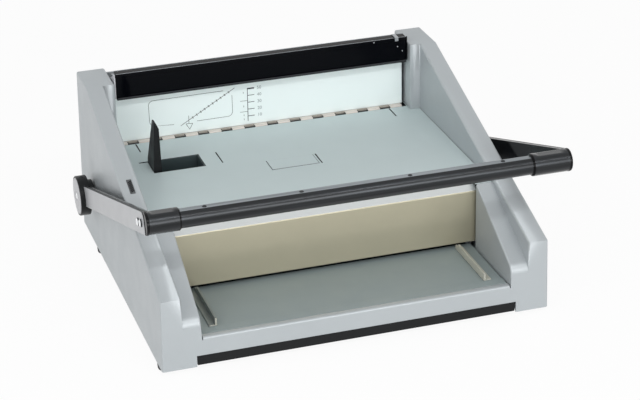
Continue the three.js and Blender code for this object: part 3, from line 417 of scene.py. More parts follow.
def digits(text, height, spot):
    """A number as thin mesh, upright and facing the front."""
    curve = bpy.data.curves.new("number", "FONT")
    curve.body = text
    curve.size = height
    curve.extrude = 0.00006
    curve.align_y = "CENTER"
    drawn = show("number", curve)
    mesh = bpy.data.meshes.new_from_object(drawn.evaluated_get(bpy.context.evaluated_depsgraph_get()))
    bpy.data.objects.remove(drawn)
    mesh.transform(Matrix.Translation(spot) @ Matrix.Rotation(math.pi / 2, 4, "X"))
    return mesh


def across(y, z, sign=1):
    """Places a shape turned or extruded along X about a line, towards either side."""
    return lambda along, u, v: at(sign * along, y + u, z + v)


# Finishes

def finish(name, build):
    """A material that is built once and used wherever its name is asked for."""
    made = bpy.data.materials.get(name)
    if made is None:
        made = bpy.data.materials.new(name)
        made.use_nodes = True
        tree = made.node_tree
        tree.nodes.clear()
        add(tree, "ShaderNodeOutputMaterial", {"Surface": build(tree)})
    return made


def dappled(tree, values, size, spread, stretch):
    """A colour that wanders a little over patches of a size in millimetres."""
    seat = add(tree, "ShaderNodeTexCoord").outputs["Object"]
    scaled = add(tree, "ShaderNodeMapping", {"Vector": seat, "Scale": stretch})
    patches = add(tree, "ShaderNodeTexNoise", {"Vector": scaled, "Scale": 1000 / size, "Detail": 3.0})
    dark = [v * (1 - spread) for v in values]
    light = [min(1.0, v * (1 + spread)) for v in values]
    ramp = add(tree, "ShaderNodeValToRGB", {"Fac": patches.outputs["Fac"]})
    for stop, position, tone in zip(ramp.color_ramp.elements, (0.3, 0.7), (dark, light)):
        stop.position = position
        stop.color = (*tone, 1.0)
    return ramp.outputs["Color"], scaled


def grainy(tree, vector, size, depth):
    """Fine relief with a grain size and depth in millimetres."""
    grain = add(tree, "ShaderNodeTexNoise", {"Vector": vector, "Scale": 1000 / size, "Detail": 2.0})
    return add(tree, "ShaderNodeBump", {
        "Strength": 1.0, "Distance": depth / 1000, "Height": grain.outputs["Fac"]})


def spread_roughness(tree, vector, size, low, high):
    """Roughness that wanders between two values."""
    patches = add(tree, "ShaderNodeTexNoise", {"Vector": vector, "Scale": 1000 / size, "Detail": 2.0})
    return add(tree, "ShaderNodeMapRange", {
        "Value": patches.outputs["Fac"], "From Min": 0.3, "From Max": 0.7, "To Min": low, "To Max": high})


def surface(name, values, low, high, stretch, patch, spread, wander, grain, depth, fixed):
    """A material whose colour, roughness and relief vary a little over the piece."""
    def build(tree):
        base, vector = dappled(tree, values, patch, spread, stretch)
        inputs = {"Base Color": base, "Roughness": spread_roughness(tree, vector, wander, low, high),
                  "Normal": grainy(tree, vector, grain, depth), **fixed}
        return add(tree, "ShaderNodeBsdfPrincipled", inputs)
    return finish(name, build)


def moulded(name, values, low=0.42, high=0.5, grain=1.1, depth=0.012, spread=0.015, shine=0.5,
            **fixed):
    """Injection-moulded plastic with a spark-eroded texture."""
    return surface(name, values, low, high, (1, 1, 1), 60, spread, 25, grain, depth,
                   {"IOR": 1.53, "Specular IOR Level": shine, **fixed})


def metallic(name, values, low, high, stretch=(1, 1, 1), grain=0.8, depth=0.004, spread=0.04, patch=30,
             **fixed):
    """Bare, plated or metal-lacquered surface, with marks drawn out where it is stretched."""
    return surface(name, values, low, high, stretch, patch, spread, 8, grain, depth,
                   {"Metallic": 1.0, **fixed})


def colours():
    return bpy.context.scene.binder_colours


def casing_abs():
    # ABS sprayed silver-grey over a fine spark-eroded texture: soft, wide highlights and a faint metal glint.
    # The texture is 0.2 mm and is drawn at 1.1 mm so that it shows.
    return moulded("silver sprayed ABS moulding", colours().casing, 0.36, 0.44, Metallic=0.25)


def deck_abs():
    # ABS moulded against a finer texture: flat grey-green with a wide weak sheen.
    return moulded("spark-eroded ABS deck", colours().deck, 0.42, 0.5, depth=0.008)


def panel_board():
    # Screen-printed acrylic board, cast smooth: bright, even and slightly glossy.
    return moulded("cast acrylic board", colours().panel, 0.2, 0.26, grain=8, depth=0.004, spread=0.004)


def rail_acetal():
    # Natural acetal, milled: warm cream with a waxy sheen.
    return moulded("milled natural acetal", colours().rail, 0.35, 0.45, grain=1.5, depth=0.006, spread=0.02)


def cover_lacquer():
    # Champagne metal lacquer on pressed steel: a satin glow that changes with the angle.
    return metallic("champagne lacquered steel", colours().cover, 0.36, 0.44, grain=1.2, depth=0.004,
                    spread=0.015, Metallic=0.55)


def cover_top_painted_sheen():
    # The same steel in silver on its upward faces: paler and a little smoother, painted as sheen of light
    # from above.
    return metallic("cover steel painted pale as sheen on top", colours().painted_sheen_band, 0.34, 0.42, grain=1.2, depth=0.004,
                    spread=0.01, Metallic=0.3)


def bar_lacquer():
    # Gunmetal lacquer on drawn tube under a clear coat: near black, with long silvery highlights.
    return metallic("gunmetal lacquered tube", colours().bar, 0.2, 0.32, (0.03, 1, 1), 1.5, 0.002, 0.5,
                    patch=3, **{"Coat Weight": 0.6, "Coat Roughness": 0.3})


def bar_top_painted_sheen():
    # The same lacquer on the bar's flat top, painted paler as a sheen of light from above.
    return metallic("gunmetal lacquer painted pale as sheen", linear("#8A9094"), 0.42, 0.5, (0.03, 1, 1), 1.5, 0.002, 0.3,
                    patch=4)


def grip_black():
    # Black ABS rings at the ends of the grips, polished.
    return moulded("glossy black ABS rings", linear("#08090B"), 0.16, 0.2, grain=6, depth=0.002,
                   spread=0.02, shine=0.15)


def arm_paint():
    # Stoved light grey enamel on plate: smooth, with a weak orange-peel ripple of 1.5 mm.
    return moulded("stoved enamel on steel plate", colours().arm, 0.28, 0.34, grain=1.5, depth=0.01,
                   spread=0.01)


def cap_abs():
    # Light grey ABS moulding, polished tool: even and softly shining.
    return moulded("light grey ABS moulding", colours().cap, 0.3, 0.36, depth=0.004)


def black_abs():
    # Black ABS with a fine texture: deep, with grey broad highlights.
    return moulded("black textured ABS", colours().black, 0.34, 0.46, grain=0.9, depth=0.012,
                   spread=0.05, shine=0.22)


def gloss_black():
    # Black ABS from a mirror-polished tool: nearly mirror-like and very dark.
    return moulded("polished black ABS", linear("#040509"), 0.1, 0.14, grain=12, depth=0.003,
                   spread=0.02, shine=0.07)


def pocket_abs():
    # Dark slate ABS of the blade's pocket, semi-matt.
    return moulded("dark slate ABS", linear("#3D494B"), 0.4, 0.48, spread=0.03, shine=0.2)


def trim_metal_and_painted_highlight():
    # Satin aluminium trim: a narrow grey line of light along the head, painted as highlight; also on the
    # badge's sides.
    return metallic("satin aluminium trim and painted highlight", linear("#83888C"), 0.26, 0.34, (0.05, 1, 1), 0.7, 0.002, 0.05)


def dark_trim_and_painted_shade():
    # Dark grey ABS trim, semi-matt; also painted shade in the deck's grooves and in the rail's slots.
    return moulded("dark grey ABS trim and painted shade", linear("#26292C"), 0.4, 0.48, spread=0.02, shine=0.25)


def tray_abs():
    # Grey-green ABS, textured, darker than the deck.
    return moulded("grey-green ABS tray", colours().tray, 0.4, 0.5, depth=0.01)


def frosted_guide():
    # Clear-toned polycarbonate fence: light passes a little way into it and blurs.
    return moulded("frosted polycarbonate", colours().guide, 0.3, 0.38, grain=1.4, depth=0.006,
                   **{"Transmission Weight": 0.25, "IOR": 1.58})


def painted_shade_guide():
    # The same fence painted grey along its sides as shade: mid grey, softly shining.
    return moulded("polycarbonate painted grey as shade", linear("#747C7A"), 0.34, 0.42, grain=1.4, depth=0.006,
                   spread=0.02)


def rubber():
    # Moulded nitrile rubber: matt, with a dry pale bloom.
    return moulded("moulded nitrile rubber", linear("#1B1C1E"), 0.75, 0.85, grain=1.0, depth=0.02,
                   spread=0.08)


def zinc_sheet():
    # Zinc-plated sheet steel: pale, with cloudy patches about 30 mm wide.
    return metallic("zinc plated sheet steel", linear("#A9ADB0"), 0.3, 0.42, grain=2.0, depth=0.003,
                    spread=0.08)


def tool_steel():
    # Ground tool steel: fine lines left by the wheel, drawn 20 times as long as they are wide.
    return metallic("ground tool steel", linear("#8B8F93"), 0.2, 0.3, (0.05, 1, 1), 0.6, 0.003, 0.05)


def chrome():
    # Nickel-plated screw steel: bright and mirror-like.
    return metallic("nickel plated steel", linear("#F0F2F4"), 0.1, 0.18, grain=1.5, depth=0.001, spread=0.02)


def black_oxide_and_painted_shade():
    # Black oxide on steel: dark grey and oily, with weak reflections; also painted shade on the sides of the
    # handle's domed screws.
    return metallic("black oxide steel and painted shade", linear("#2B2D2F"), 0.32, 0.42, grain=1.2, depth=0.004, spread=0.08)


def sintered_bronze():
    # Sintered bronze: brown-gold with fine pores.
    return metallic("sintered bronze", linear("#A9824C"), 0.4, 0.5, grain=0.6, depth=0.02, spread=0.08)


def solder_mask():
    # Solder mask on glass fibre board: green and glossy over a faint grain of 1 mm.
    return moulded("green solder mask", linear("#1F5B3A"), 0.22, 0.3, grain=1.0, depth=0.004, spread=0.05)


def painted_iron():
    # Varnished iron laminations and castings: dark, uneven and dull.
    return moulded("varnished iron", linear("#45494D"), 0.45, 0.6, grain=1.6, depth=0.03, spread=0.08)


def print_ink():
    # Screen-printing ink: dark grey and matt.
    return moulded("dark screen print ink", colours().ink, 0.5, 0.6, grain=2, depth=0.001, spread=0.02)


def number_ink():
    # The same ink thinned: paler grey, for the numbers.
    return moulded("pale screen print ink", colours().numbers, 0.5, 0.6, grain=2, depth=0.001, spread=0.02)


def slot_steel():
    # Blued spring steel of the strip catches: brownish grey and dull.
    return metallic("blued spring steel", linear("#A39B90"), 0.4, 0.5, grain=1.0, depth=0.004, spread=0.06,
                    Metallic=0.5)


def key_lens():
    # Smoked polycarbonate window: dark grey, glossy.
    return moulded("smoked polycarbonate", linear("#4A4D4F"), 0.16, 0.22, grain=6, depth=0.002, spread=0.02)


def is_top(face, least=0.7):
    return face.normal.z > least


# Pieces

class BinderOperator(bpy.types.Operator):
    """Base of the operators that build one group of pieces"""
    bl_options = {"REGISTER", "UNDO"}

    def execute(self, context):
        self.build(context.scene.binder_sizes)
        return {"FINISHED"}


class BINDER_OT_casing(BinderOperator):
    """Build the silver-grey casing with rounded ridges"""
    bl_idname = "binder.casing"
    bl_label = "Casing"

    def build(self, size):
        floor = at(0, 0, 2).z
        nose_low, nose_high = at(0, -1, 44), at(0, 14, 62)

        def outer(edge):
            ends = [vert.co for vert in edge.verts]
            if all(nose_low.y < end.y < nose_high.y and nose_low.z < end.z < nose_high.z for end in ends):
                return edge.calc_face_angle(0) > 1
            return edge.calc_length() > 0.03 and (
                min(end.z for end in ends) > floor or abs(ends[0].z - ends[1].z) > 0.02)
        softened("main_casing", size.casing_round, [casing_abs()], "casing", "casing", length=0.0005,
                 keep=outer, clamp=False)


class BINDER_OT_feet(BinderOperator):
    """Build the four rubber feet"""
    bl_idname = "binder.feet"
    bl_label = "Feet"

    def build(self, size):
        for side, sign in SIDES:
            for place_name, y in (("front", 20), ("rear", 317)):
                x = sign * 210
                profile = [(-6, 0), (-6, 7.6), (-5.6, 8.2), (-4.8, 8.6), (-0.7, 9), (-0.3, 8.7), (-0.3, 5),
                           (0.6, 5), (0.6, 0)]
                shape = turned(profile, lambda along, u, v, x=x, y=y: at(x + u, y + v, along), 48)
                node = f"{place_name}_{side}_foot"
                make(node + "_pad", shape, [rubber()], "casing", (node,))


class BINDER_OT_deck(BinderOperator):
    """Build the deck plate with its grooves, and the blank badge"""
    bl_idname = "binder.deck"
    bl_label = "Deck and badge"

    def build(self, size):
        under = at(0, 0, 109.9).z
        above = at(0, 0, 108.3).z
        # Faces in the grooves, except the leftmost groove, take the dark finish: painted shade in the
        # grooves.
        softened("deck_plate", size.deck_round, [deck_abs(), dark_trim_and_painted_shade()], "casing", "deck", length=0.006,
                 clamp=False, choose=lambda face: 1 if above < face.calc_center_median().z < under
                 and face.calc_area() < 0.0012 and face.calc_center_median().x > -0.16 else 0)
        softened("badge_plate", 0.00035, [deck_abs(), trim_metal_and_painted_highlight()], "casing", "cap", length=0.0005,
                 choose=lambda face: 0 if is_top(face, 0.99) else 1)


class BINDER_OT_slot_rail(BinderOperator):
    """Build the strip rail with its row of slots"""
    bl_idname = "binder.slot_rail"
    bl_label = "Slot rail"

    def build(self, size):
        low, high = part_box("strip_slot_rail")
        left = 0.154 - size.slot_pitch * (size.slot_count - 1)
        middle = at(0, 355.95, 0).y
        rail = grow("strip_slot_rail_comb", comb_tree(), {
            "Rail": high - low, "Centre": (low + high) / 2, "Notch": (size.slot_length, 0.0072, 0.05),
            "Count": size.slot_count, "First": (left, at(0, 355.55, 0).y, high.z),
            "Step": (size.slot_pitch, 0, 0)}, rail_acetal())
        shape = bmesh.new()
        shape.from_mesh(rail.data)
        bpy.data.objects.remove(rail)
        behind = high.y - 0.0005
        soften(shape, 0.0002, length=0.003, keep=lambda edge: all(vert.co.y < behind for vert in edge.verts))
        make("strip_slot_rail_comb", shape, [rail_acetal()], "casing", ("strip_slot_rail",))
        # Dark bars under the narrowed catches: painted shade in the slots, showing as a dark outline round
        # each catch.
        for name, shrink, drop, thick, finish_of, slot_name in (
                ("slot_painted_shade", 0, 0.0009, 0.003, dark_trim_and_painted_shade, "black"),
                ("strip_catches", 0.003, 0, 0.002, slot_steel, "steel")):
            long = (size.slot_length - shrink, 0.0064 - shrink, thick)
            bars = bar_row(name, size.slot_count, (left - long[0] / 2, middle, high.z - drop - thick / 2),
                           (size.slot_pitch, 0, 0), long, finish_of())
            place(bars, "casing")


class BINDER_OT_guide_blade(BinderOperator):
    """Build the fold-down guide blade and its pocket"""
    bl_idname = "binder.guide_blade"
    bl_label = "Guide blade"

    def build(self, size):
        softened("guide_pocket", 0.0003, [pocket_abs()], "casing", "black", length=0.005)
        plate = blocked(-168.2, -157.7, 260.4, 293.8, 109.82, 110.1)
        make("blade_hinge_plate", soften(plate, 0.00008, length=0.005), [deck_abs()], "casing")
        shoulder, peak = at(0, 0, 150).z, at(0, 0, 165).z

        def fuller(spot):
            if spot.z > peak:
                spot.x += 0.0022
            elif spot.z > shoulder:
                spot.z += 0.0046
            return spot
        softened("guide_blade", 0.0009, [black_abs()], "blade", "black", length=0.003, move=fuller)


class BINDER_OT_back_panel(BinderOperator):
    """Build the white back panel with its printed scale, in its black frame"""
    bl_idname = "binder.back_panel"
    bl_label = "Back panel"

    def build(self, size):
        foot = at(0, 0, 111.65).z

        def widened(half):
            def move(spot):
                spot.x = math.copysign(half, spot.x)
                spot.z = foot if spot.z < foot + 0.002 else spot.z
                return spot
            return move
        softened("back_panel", 0.0003, [panel_board()], "casing", "panel", move=widened(0.178))
        softened("panel_backing", 0.0005, [gloss_black()], "casing", "black", move=widened(0.1783))
        self.drawing(size)
        self.scale(size)

    def drawing(self, size):
        """The printed outline box, its slanting line and the pointer under it."""
        shape = bmesh.new()
        line = size.line_width
        box = [(-108.9, 124.5), (-135.2, 126.2)] + arc(-132.2, 132.4, 6, 262, 180) + arc(
            -132.6, 152.4, 6, 180, 92) + [(-47.2, 158.9)]
        ribbon(shape, box, line * 0.8)
        ribbon(shape, [(-36.7, 152)] + arc(-42.6, 131.4, 6, 0, -88) + [(-80.7, 125.1)], line * 0.8)
        low, high = Vector((-100.8, 121.7)), Vector((-33.2, 160.6))
        ribbon(shape, [low, high], line)
        aside = Vector((low.y - high.y, high.x - low.x)).normalized() * 1.5
        for k in range(3, 13):
            tick = low.lerp(high, k / 13.5)
            ribbon(shape, [tick - aside, tick + aside], line * 1.5)
        ribbon(shape, [(-90.7, 133.3), (-90.7, 123.6)], line * 0.8)
        ribbon(shape, [(-94.6, 123.3), (-86.2, 122.9), (-90, 115.8), (-94.6, 123.3)], line * 0.8)
        make("panel_drawing", shape, [print_ink()], "casing")

    def scale(self, size):
        """The thickness scale, from 10 to 50, with its numbers."""
        shape = bmesh.new()
        line = size.line_width
        ribbon(shape, [(-17.4, 158.4), (-17.8, 115.9)], line * 1.3)
        ribbon(shape, [(-17.4, 157.4), (-9, 157.4)], line * 3)
        ribbon(shape, [(-17.8, 142.4), (-26.8, 142.4)], line * 0.7)
        ribbon(shape, [(-17.8, 128.4), (-27.2, 128.4)], line * 0.7)
        for height in (153, 135.4, 124, 118.6):
            ribbon(shape, [(-22.6, height - 1.2), (-22.6, height + 1.2)], line * 0.8)
        make("scale_line", shape, [print_ink()], "casing")
        tick = (0.0084, 0.0002, line * 1.2)
        ticks = bar_row("scale_ticks", 4, at(-17.8, 359.6, 122.4), (0.0001, 0, 0.0088), tick, print_ink())
        place(ticks, "casing")
        numbers = bmesh.new()
        for text, height in (("10", 122.4), ("20", 131.1), ("30", 139.8), ("40", 148.5), ("50", 157.2)):
            numbers.from_mesh(digits(text, 0.0056, at(-5.8, 359.62, height)))
        make("scale_numbers", numbers, [number_ink()], "casing")


class BINDER_OT_press_head(BinderOperator):
    """Build the press head, its strips of painted highlight, bracket, arm plates and racks"""
    bl_idname = "binder.press_head"
    bl_label = "Press head"

    def build(self, size):
        outline = [(344, 170.5), (357, 170.5), (357, 203), (344, 203), (344, 198.6), (346.4, 198.6),
                   (346.4, 173.5), (344, 173.5)]
        head = soften(extruded(outline, -178.2, 178.2, at), 0.0006, length=0.001)
        head.normal_update()
        lip = at(0, 0, 173.4).z
        for face in head.faces:
            if face.calc_center_median().z < lip and abs(face.normal.x) < 0.5:
                face.material_index = 1
        make("press_head_beam", head, [gloss_black(), dark_trim_and_painted_shade()], "press", ("press_head",))
        # Pale strips along the head's front and rear top edges: painted highlight.
        for name, front, rear, crest in (("head_front_painted_highlight", 344.15, 344.95, 203.18),
                                         ("head_rear_painted_highlight", 355.4, 356.8, 203.2)):
            trim = blocked(-HEAD_HALF, HEAD_HALF, front, rear, 202.9, crest)
            make(name, soften(trim, 0.0001, length=0.1), [trim_metal_and_painted_highlight()], "press")
        behind, shoulder, top = at(0, 360, 0).y, at(0, 0, 188).z, at(0, 0, 202.6).z

        def sloped(spot):
            spot.z = min(spot.z, shoulder if spot.y > behind else top)
            return spot
        softened("left_head_arm", 0.0005, [cap_abs()], "press", "cap", move=sloped)
        softened("right_head_arm", 0.0005, [gloss_black()], "press", "cap", move=sloped)
        outline = [(342.9, 199.0), (343.8, 199.0), (343.8, 203.3), (355.6, 203.3), (355.6, 204.2),
                   (342.9, 204.2)]
        make("head_bracket", soften(extruded(outline, 163.5, 168, at), 0.0003, length=0.001), [zinc_sheet()],
             "press")
        pins = [(at(x, 344, z), Vector((0, -1, 0))) for x, z in ((137, 200.8), (167, 192), (173, 186))]
        screws("head_screws", "press", 0.0009, 0.0006, 0.0004, 6, chrome(), pins)
        rack_top = at(0, 0, 194).z

        def lowered(spot):
            spot.z = min(spot.z, rack_top)
            return spot
        for side, sign in SIDES:
            softened(f"{side}_rack", 0.0002, [tool_steel()], "press", "steel", length=0.02, move=lowered)


class BINDER_OT_front_cover(BinderOperator):
    """Build the champagne front cover of the punch, with its upward faces painted paler as sheen"""
    bl_idname = "binder.front_cover"
    bl_label = "Front cover"

    def build(self, size):
        def to_walls(spot):
            spot.x = math.copysign(0.1766, spot.x) if abs(spot.x) > 0.173 else spot.x
            return spot
        # Upward faces above this height take the paler lacquer: painted sheen.
        painted_sheen_band = at(0, 0, 98).z
        softened("front_cover", 0.0012, [cover_lacquer(), cover_top_painted_sheen()], "casing", "cover", length=0.1,
                 move=to_walls,
                 choose=lambda face: 1 if is_top(face) and face.calc_center_median().z > painted_sheen_band else 0)


class BINDER_OT_paper_tray(BinderOperator):
    """Build the paper tray and the edge guides"""
    bl_idname = "binder.paper_tray"
    bl_label = "Paper tray"

    def build(self, size):
        softened("paper_tray", 0.0006, [tray_abs()], "casing", "tray", length=0.0005)
        softened("right_edge_guide", 0.0007, [frosted_guide()], "casing", "guide", length=0.0006)
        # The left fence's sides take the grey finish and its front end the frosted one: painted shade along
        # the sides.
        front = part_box("left_edge_guide")[0].y + 0.008
        softened("left_edge_guide", 0.0007, [painted_shade_guide(), frosted_guide()], "casing", "guide",
                 length=0.0006, choose=lambda face: 1 if face.calc_center_median().y < front else 0)


class BINDER_OT_chip_tray(BinderOperator):
    """Build the chip tray under the sill"""
    bl_idname = "binder.chip_tray"
    bl_label = "Chip tray"

    def build(self, size):
        softened("chip_tray", 0.0006, [black_abs()], "chips", "black", length=0.004)


class BINDER_OT_handle(BinderOperator):
    """Build the handle's bar, grips and arms"""
    bl_idname = "binder.handle"
    bl_label = "Handle"

    def build(self, size):
        half = math.degrees(math.asin(BAR_FLAT / BAR_RADIUS))
        outline = arc(0, 0, BAR_RADIUS, 180 - half, 360 + half, 48)
        # In the photograph both grips begin a little further left than a centred pair would.
        inner_ends = {"left": 195.8, "right": 188.0}
        bar = soften(extruded(outline, 0.3 - inner_ends["left"], inner_ends["right"] - 0.3, across(*BAR)),
                     0.0005, length=0.05, angle=20)
        # The bar's flat top takes the paler lacquer: painted sheen.
        paint(bar, lambda face: 1 if is_top(face, 0.99) else 0)
        make("handle_bar_tube", bar, [bar_lacquer(), bar_top_painted_sheen()], "handle")
        # Each sleeve runs through the end of its arm, up to just behind the arm's outer face.
        outer, bore, body, collar = 231.2, 7.3, 12.1, 12.5
        flat_height, flat_end, collar_start = 11.1, 225, 228.2
        for side, sign in SIDES:
            inner, spot = inner_ends[side], across(*BAR, sign)
            profile = [(inner, bore), (inner, 11.5), (inner + 0.3, 11.9), (inner + 1, body)]
            profile += [(inner + 2 + (225.4 - inner) * k / 17, body) for k in range(17)]
            profile += [(227.4, body), (228.1, 12.15), (228.3, 12.3), (228.7, collar), (230.6, collar),
                        (231.0, 12.3), (outer, 11.9), (outer, 3), (224.6, 3), (224.6, bore)]
            grip = turned(profile, spot, 96, True)
            limit = at(0, 0, BAR[1] + flat_height).z
            for vert in grip.verts:
                along = abs(vert.co.x) * 1000
                if inner + 5 < along < flat_end:
                    vert.co.z = min(vert.co.z, limit)
            paint(grip, lambda face, start=inner / 1000 + 0.001:
                  0 if start < abs(face.calc_center_median().x) < collar_start / 1000 else 1)
            make(f"{side}_grip_sleeve", grip, [bar_lacquer(), grip_black()], "handle",
                 (f"{side}_grip",))
            ring = turned([(inner - 0.9, bore), (inner - 0.9, 10.9), (inner, 10.9), (inner, bore)], spot, 72,
                          True)
            make(f"{side}_grip_ring", ring, [grip_black()], "handle")
            # Edge faces of each arm are black: partly the black lining showing, partly painted shade along
            # the top edge.
            softened(f"{side}_arm", size.arm_round, [arm_paint(), black_abs()], "handle", "arm",
                     length=0.0005, choose=lambda face: 1 if abs(face.normal.x) < 0.6 else 0)
            softened(f"{side}_arm_lining", 0.0005, [gloss_black()], "handle", "black", length=0.0005)
        spigot = turned([(-224, 0), (-224, 7), (224, 7), (224, 0)], across(*BAR), 48)
        make("handle_bar_core", spigot, [tool_steel()], "handle", ("handle_bar",))


class BINDER_OT_hubs(BinderOperator):
    """Build the handle's hubs and caps"""
    bl_idname = "binder.hubs"
    bl_label = "Hubs"

    def build(self, size):
        for side, sign in SIDES:
            spot = across(*PIVOT, sign)
            hub = turned([(219, 8.3), (219, 17.1), (219.4, 17.5), (225, 17.5), (225, 22.6), (225.8, 23.4),
                          (236.7, 23.4), (237.5, 22.8), (237.5, 21.8), (236, 21.7), (236, 8.3)], spot, 96,
                         True)
            make(f"{side}_hub_drum", hub, [black_abs()], "handle", (f"{side}_hub",))
            cap = turned([(236.3, 0), (236.3, 21.2), (237.3, 21.4), (237.8, 21.0), (238.2, 18), (238.3, 6.2),
                          (237.7, 5.6), (237.7, 0)], spot, 96)
            make(f"{side}_hub_disc", cap, [cap_abs()], "handle", (f"{side}_hub_cap",))


class BINDER_OT_start_key(BinderOperator):
    """Build the start key on the slope of the left ridge"""
    bl_idname = "binder.start_key"
    bl_label = "Start key"

    def build(self, size):
        softened("start_key", 0.0005, [key_lens()], "key", "black", length=0.004)
        spot = Matrix.Translation(at(-204.2, 172, 82 + math.tan(RIDGE_SLOPE) * 172)) @ Matrix.Rotation(
            RIDGE_SLOPE, 4, "X")
        ribs = bar_row("start_key_ribs", 7, (-0.0018, -0.0098, 0.0007), (0, 0.0026, 0),
                       (0.0047, 0.0012, 0.0004), gloss_black(), (0, 0, math.radians(35)))
        ribs.data.transform(spot)
        place(ribs, "key")


class BINDER_OT_rear_panel(BinderOperator):
    """Build the rear panel, the power inlet and the switch"""
    bl_idname = "binder.rear_panel"
    bl_label = "Rear panel"

    def build(self, size):
        softened("rear_panel", 0.0005, [casing_abs()], "casing", "casing", length=0.01)
        softened("power_inlet", 0.0005, [black_abs()], "casing", "black", length=0.004)
        softened("switch_rocker", 0.0004, [black_abs()], "rocker", "black", length=0.008)
        pins = bar_row("inlet_pins", 3, at(-137.9, 385, 33), (0.0079, 0, 0), (0.0016, 0.014, 0.0046),
                       chrome())
        place(pins, "casing")


class BINDER_OT_screws(BinderOperator):
    """Build the screw heads of the handle, the rear panel and the base"""
    bl_idname = "binder.screws"
    bl_label = "Screws"

    def build(self, size):
        cosine, sine = math.cos(ARM_RISE), math.sin(ARM_RISE)
        arm_points = []
        for side, sign in SIDES:
            for along in (329.5, 343):
                y, z = PIVOT[0] - along * cosine, PIVOT[1] + along * sine
                arm_points.append((at(sign * 231.9, y, z), Vector((sign, 0, 0))))
        wide, high = size.screw_radius, size.screw_height
        # Dark collars under the chrome domes: painted shade on the sides of the screw heads.
        screws("handle_screw_painted_shade_sides", "handle", wide, high, 0.0017, 6, black_oxide_and_painted_shade(), arm_points)
        domes = [(spot + facing * high * 0.9, facing) for spot, facing in arm_points]
        domes += [(at(sign * 237.6, *PIVOT), Vector((sign, 0, 0))) for side, sign in SIDES]
        screws("handle_screws", "handle", wide * 0.85, 0.0007, 0.0012, 6, chrome(), domes)
        top = BAR[1] + BAR_FLAT - 0.1
        spots = [at(x, BAR[0], top) for x in (-168.5, -65.8, 52.2, 156)]
        spots += [at(sign * 231.3, PIVOT[0], PIVOT[1] + 23.2) for side, sign in SIDES]
        dark_points = [(spot, Vector((0, 0, 1))) for spot in spots]
        screws("bar_screws", "handle", 0.0026, 0.0005, 0.0015, 6, black_oxide_and_painted_shade(), dark_points)
        behind, under = Vector((0, 1, 0)), Vector((0, 0, -1))
        rear_points = [(at(x, 396, z), behind) for x in (-184, -60, 20, 184) for z in (14, 100)]
        for side, sign in SIDES:
            rear_points.append((at(sign * 168, 396, 178), behind))
            rear_points += [(at(sign * 203, y, 1), under) for y in (40, 120, 220, 360)]
            rear_points += [(at(sign * 150, y, 1), under) for y in (172, 280, 380)]
        screws("casing_screws", "casing", 0.003, 0.0012, 0.0014, 4, chrome(), rear_points)


class BINDER_OT_inner_works(BinderOperator):
    """Give the works inside the casing their finishes"""
    bl_idname = "binder.inner_works"
    bl_label = "Inner works"

    def build(self, size):
        finishes = {"sheet": zinc_sheet, "steel": tool_steel, "bronze": sintered_bronze, "iron": painted_iron,
                    "board": solder_mask, "rubber": rubber, "black": black_abs, "cap": cap_abs,
                    "casing": casing_abs, "deck": deck_abs, "panel": panel_board, "rail": rail_acetal,
                    "cover": cover_lacquer, "gloss": gloss_black, "tray": tray_abs, "guide": frosted_guide,
                    "arm": arm_paint, "bar": bar_lacquer}
        slots = {item["node"]: item["material_slot"] for item in frame["record"]["subparts"]}
        for name, node in frame["nodes"].items():
            for material_slot in node.material_slots:
                material_slot.material = finishes[slots[name]]()


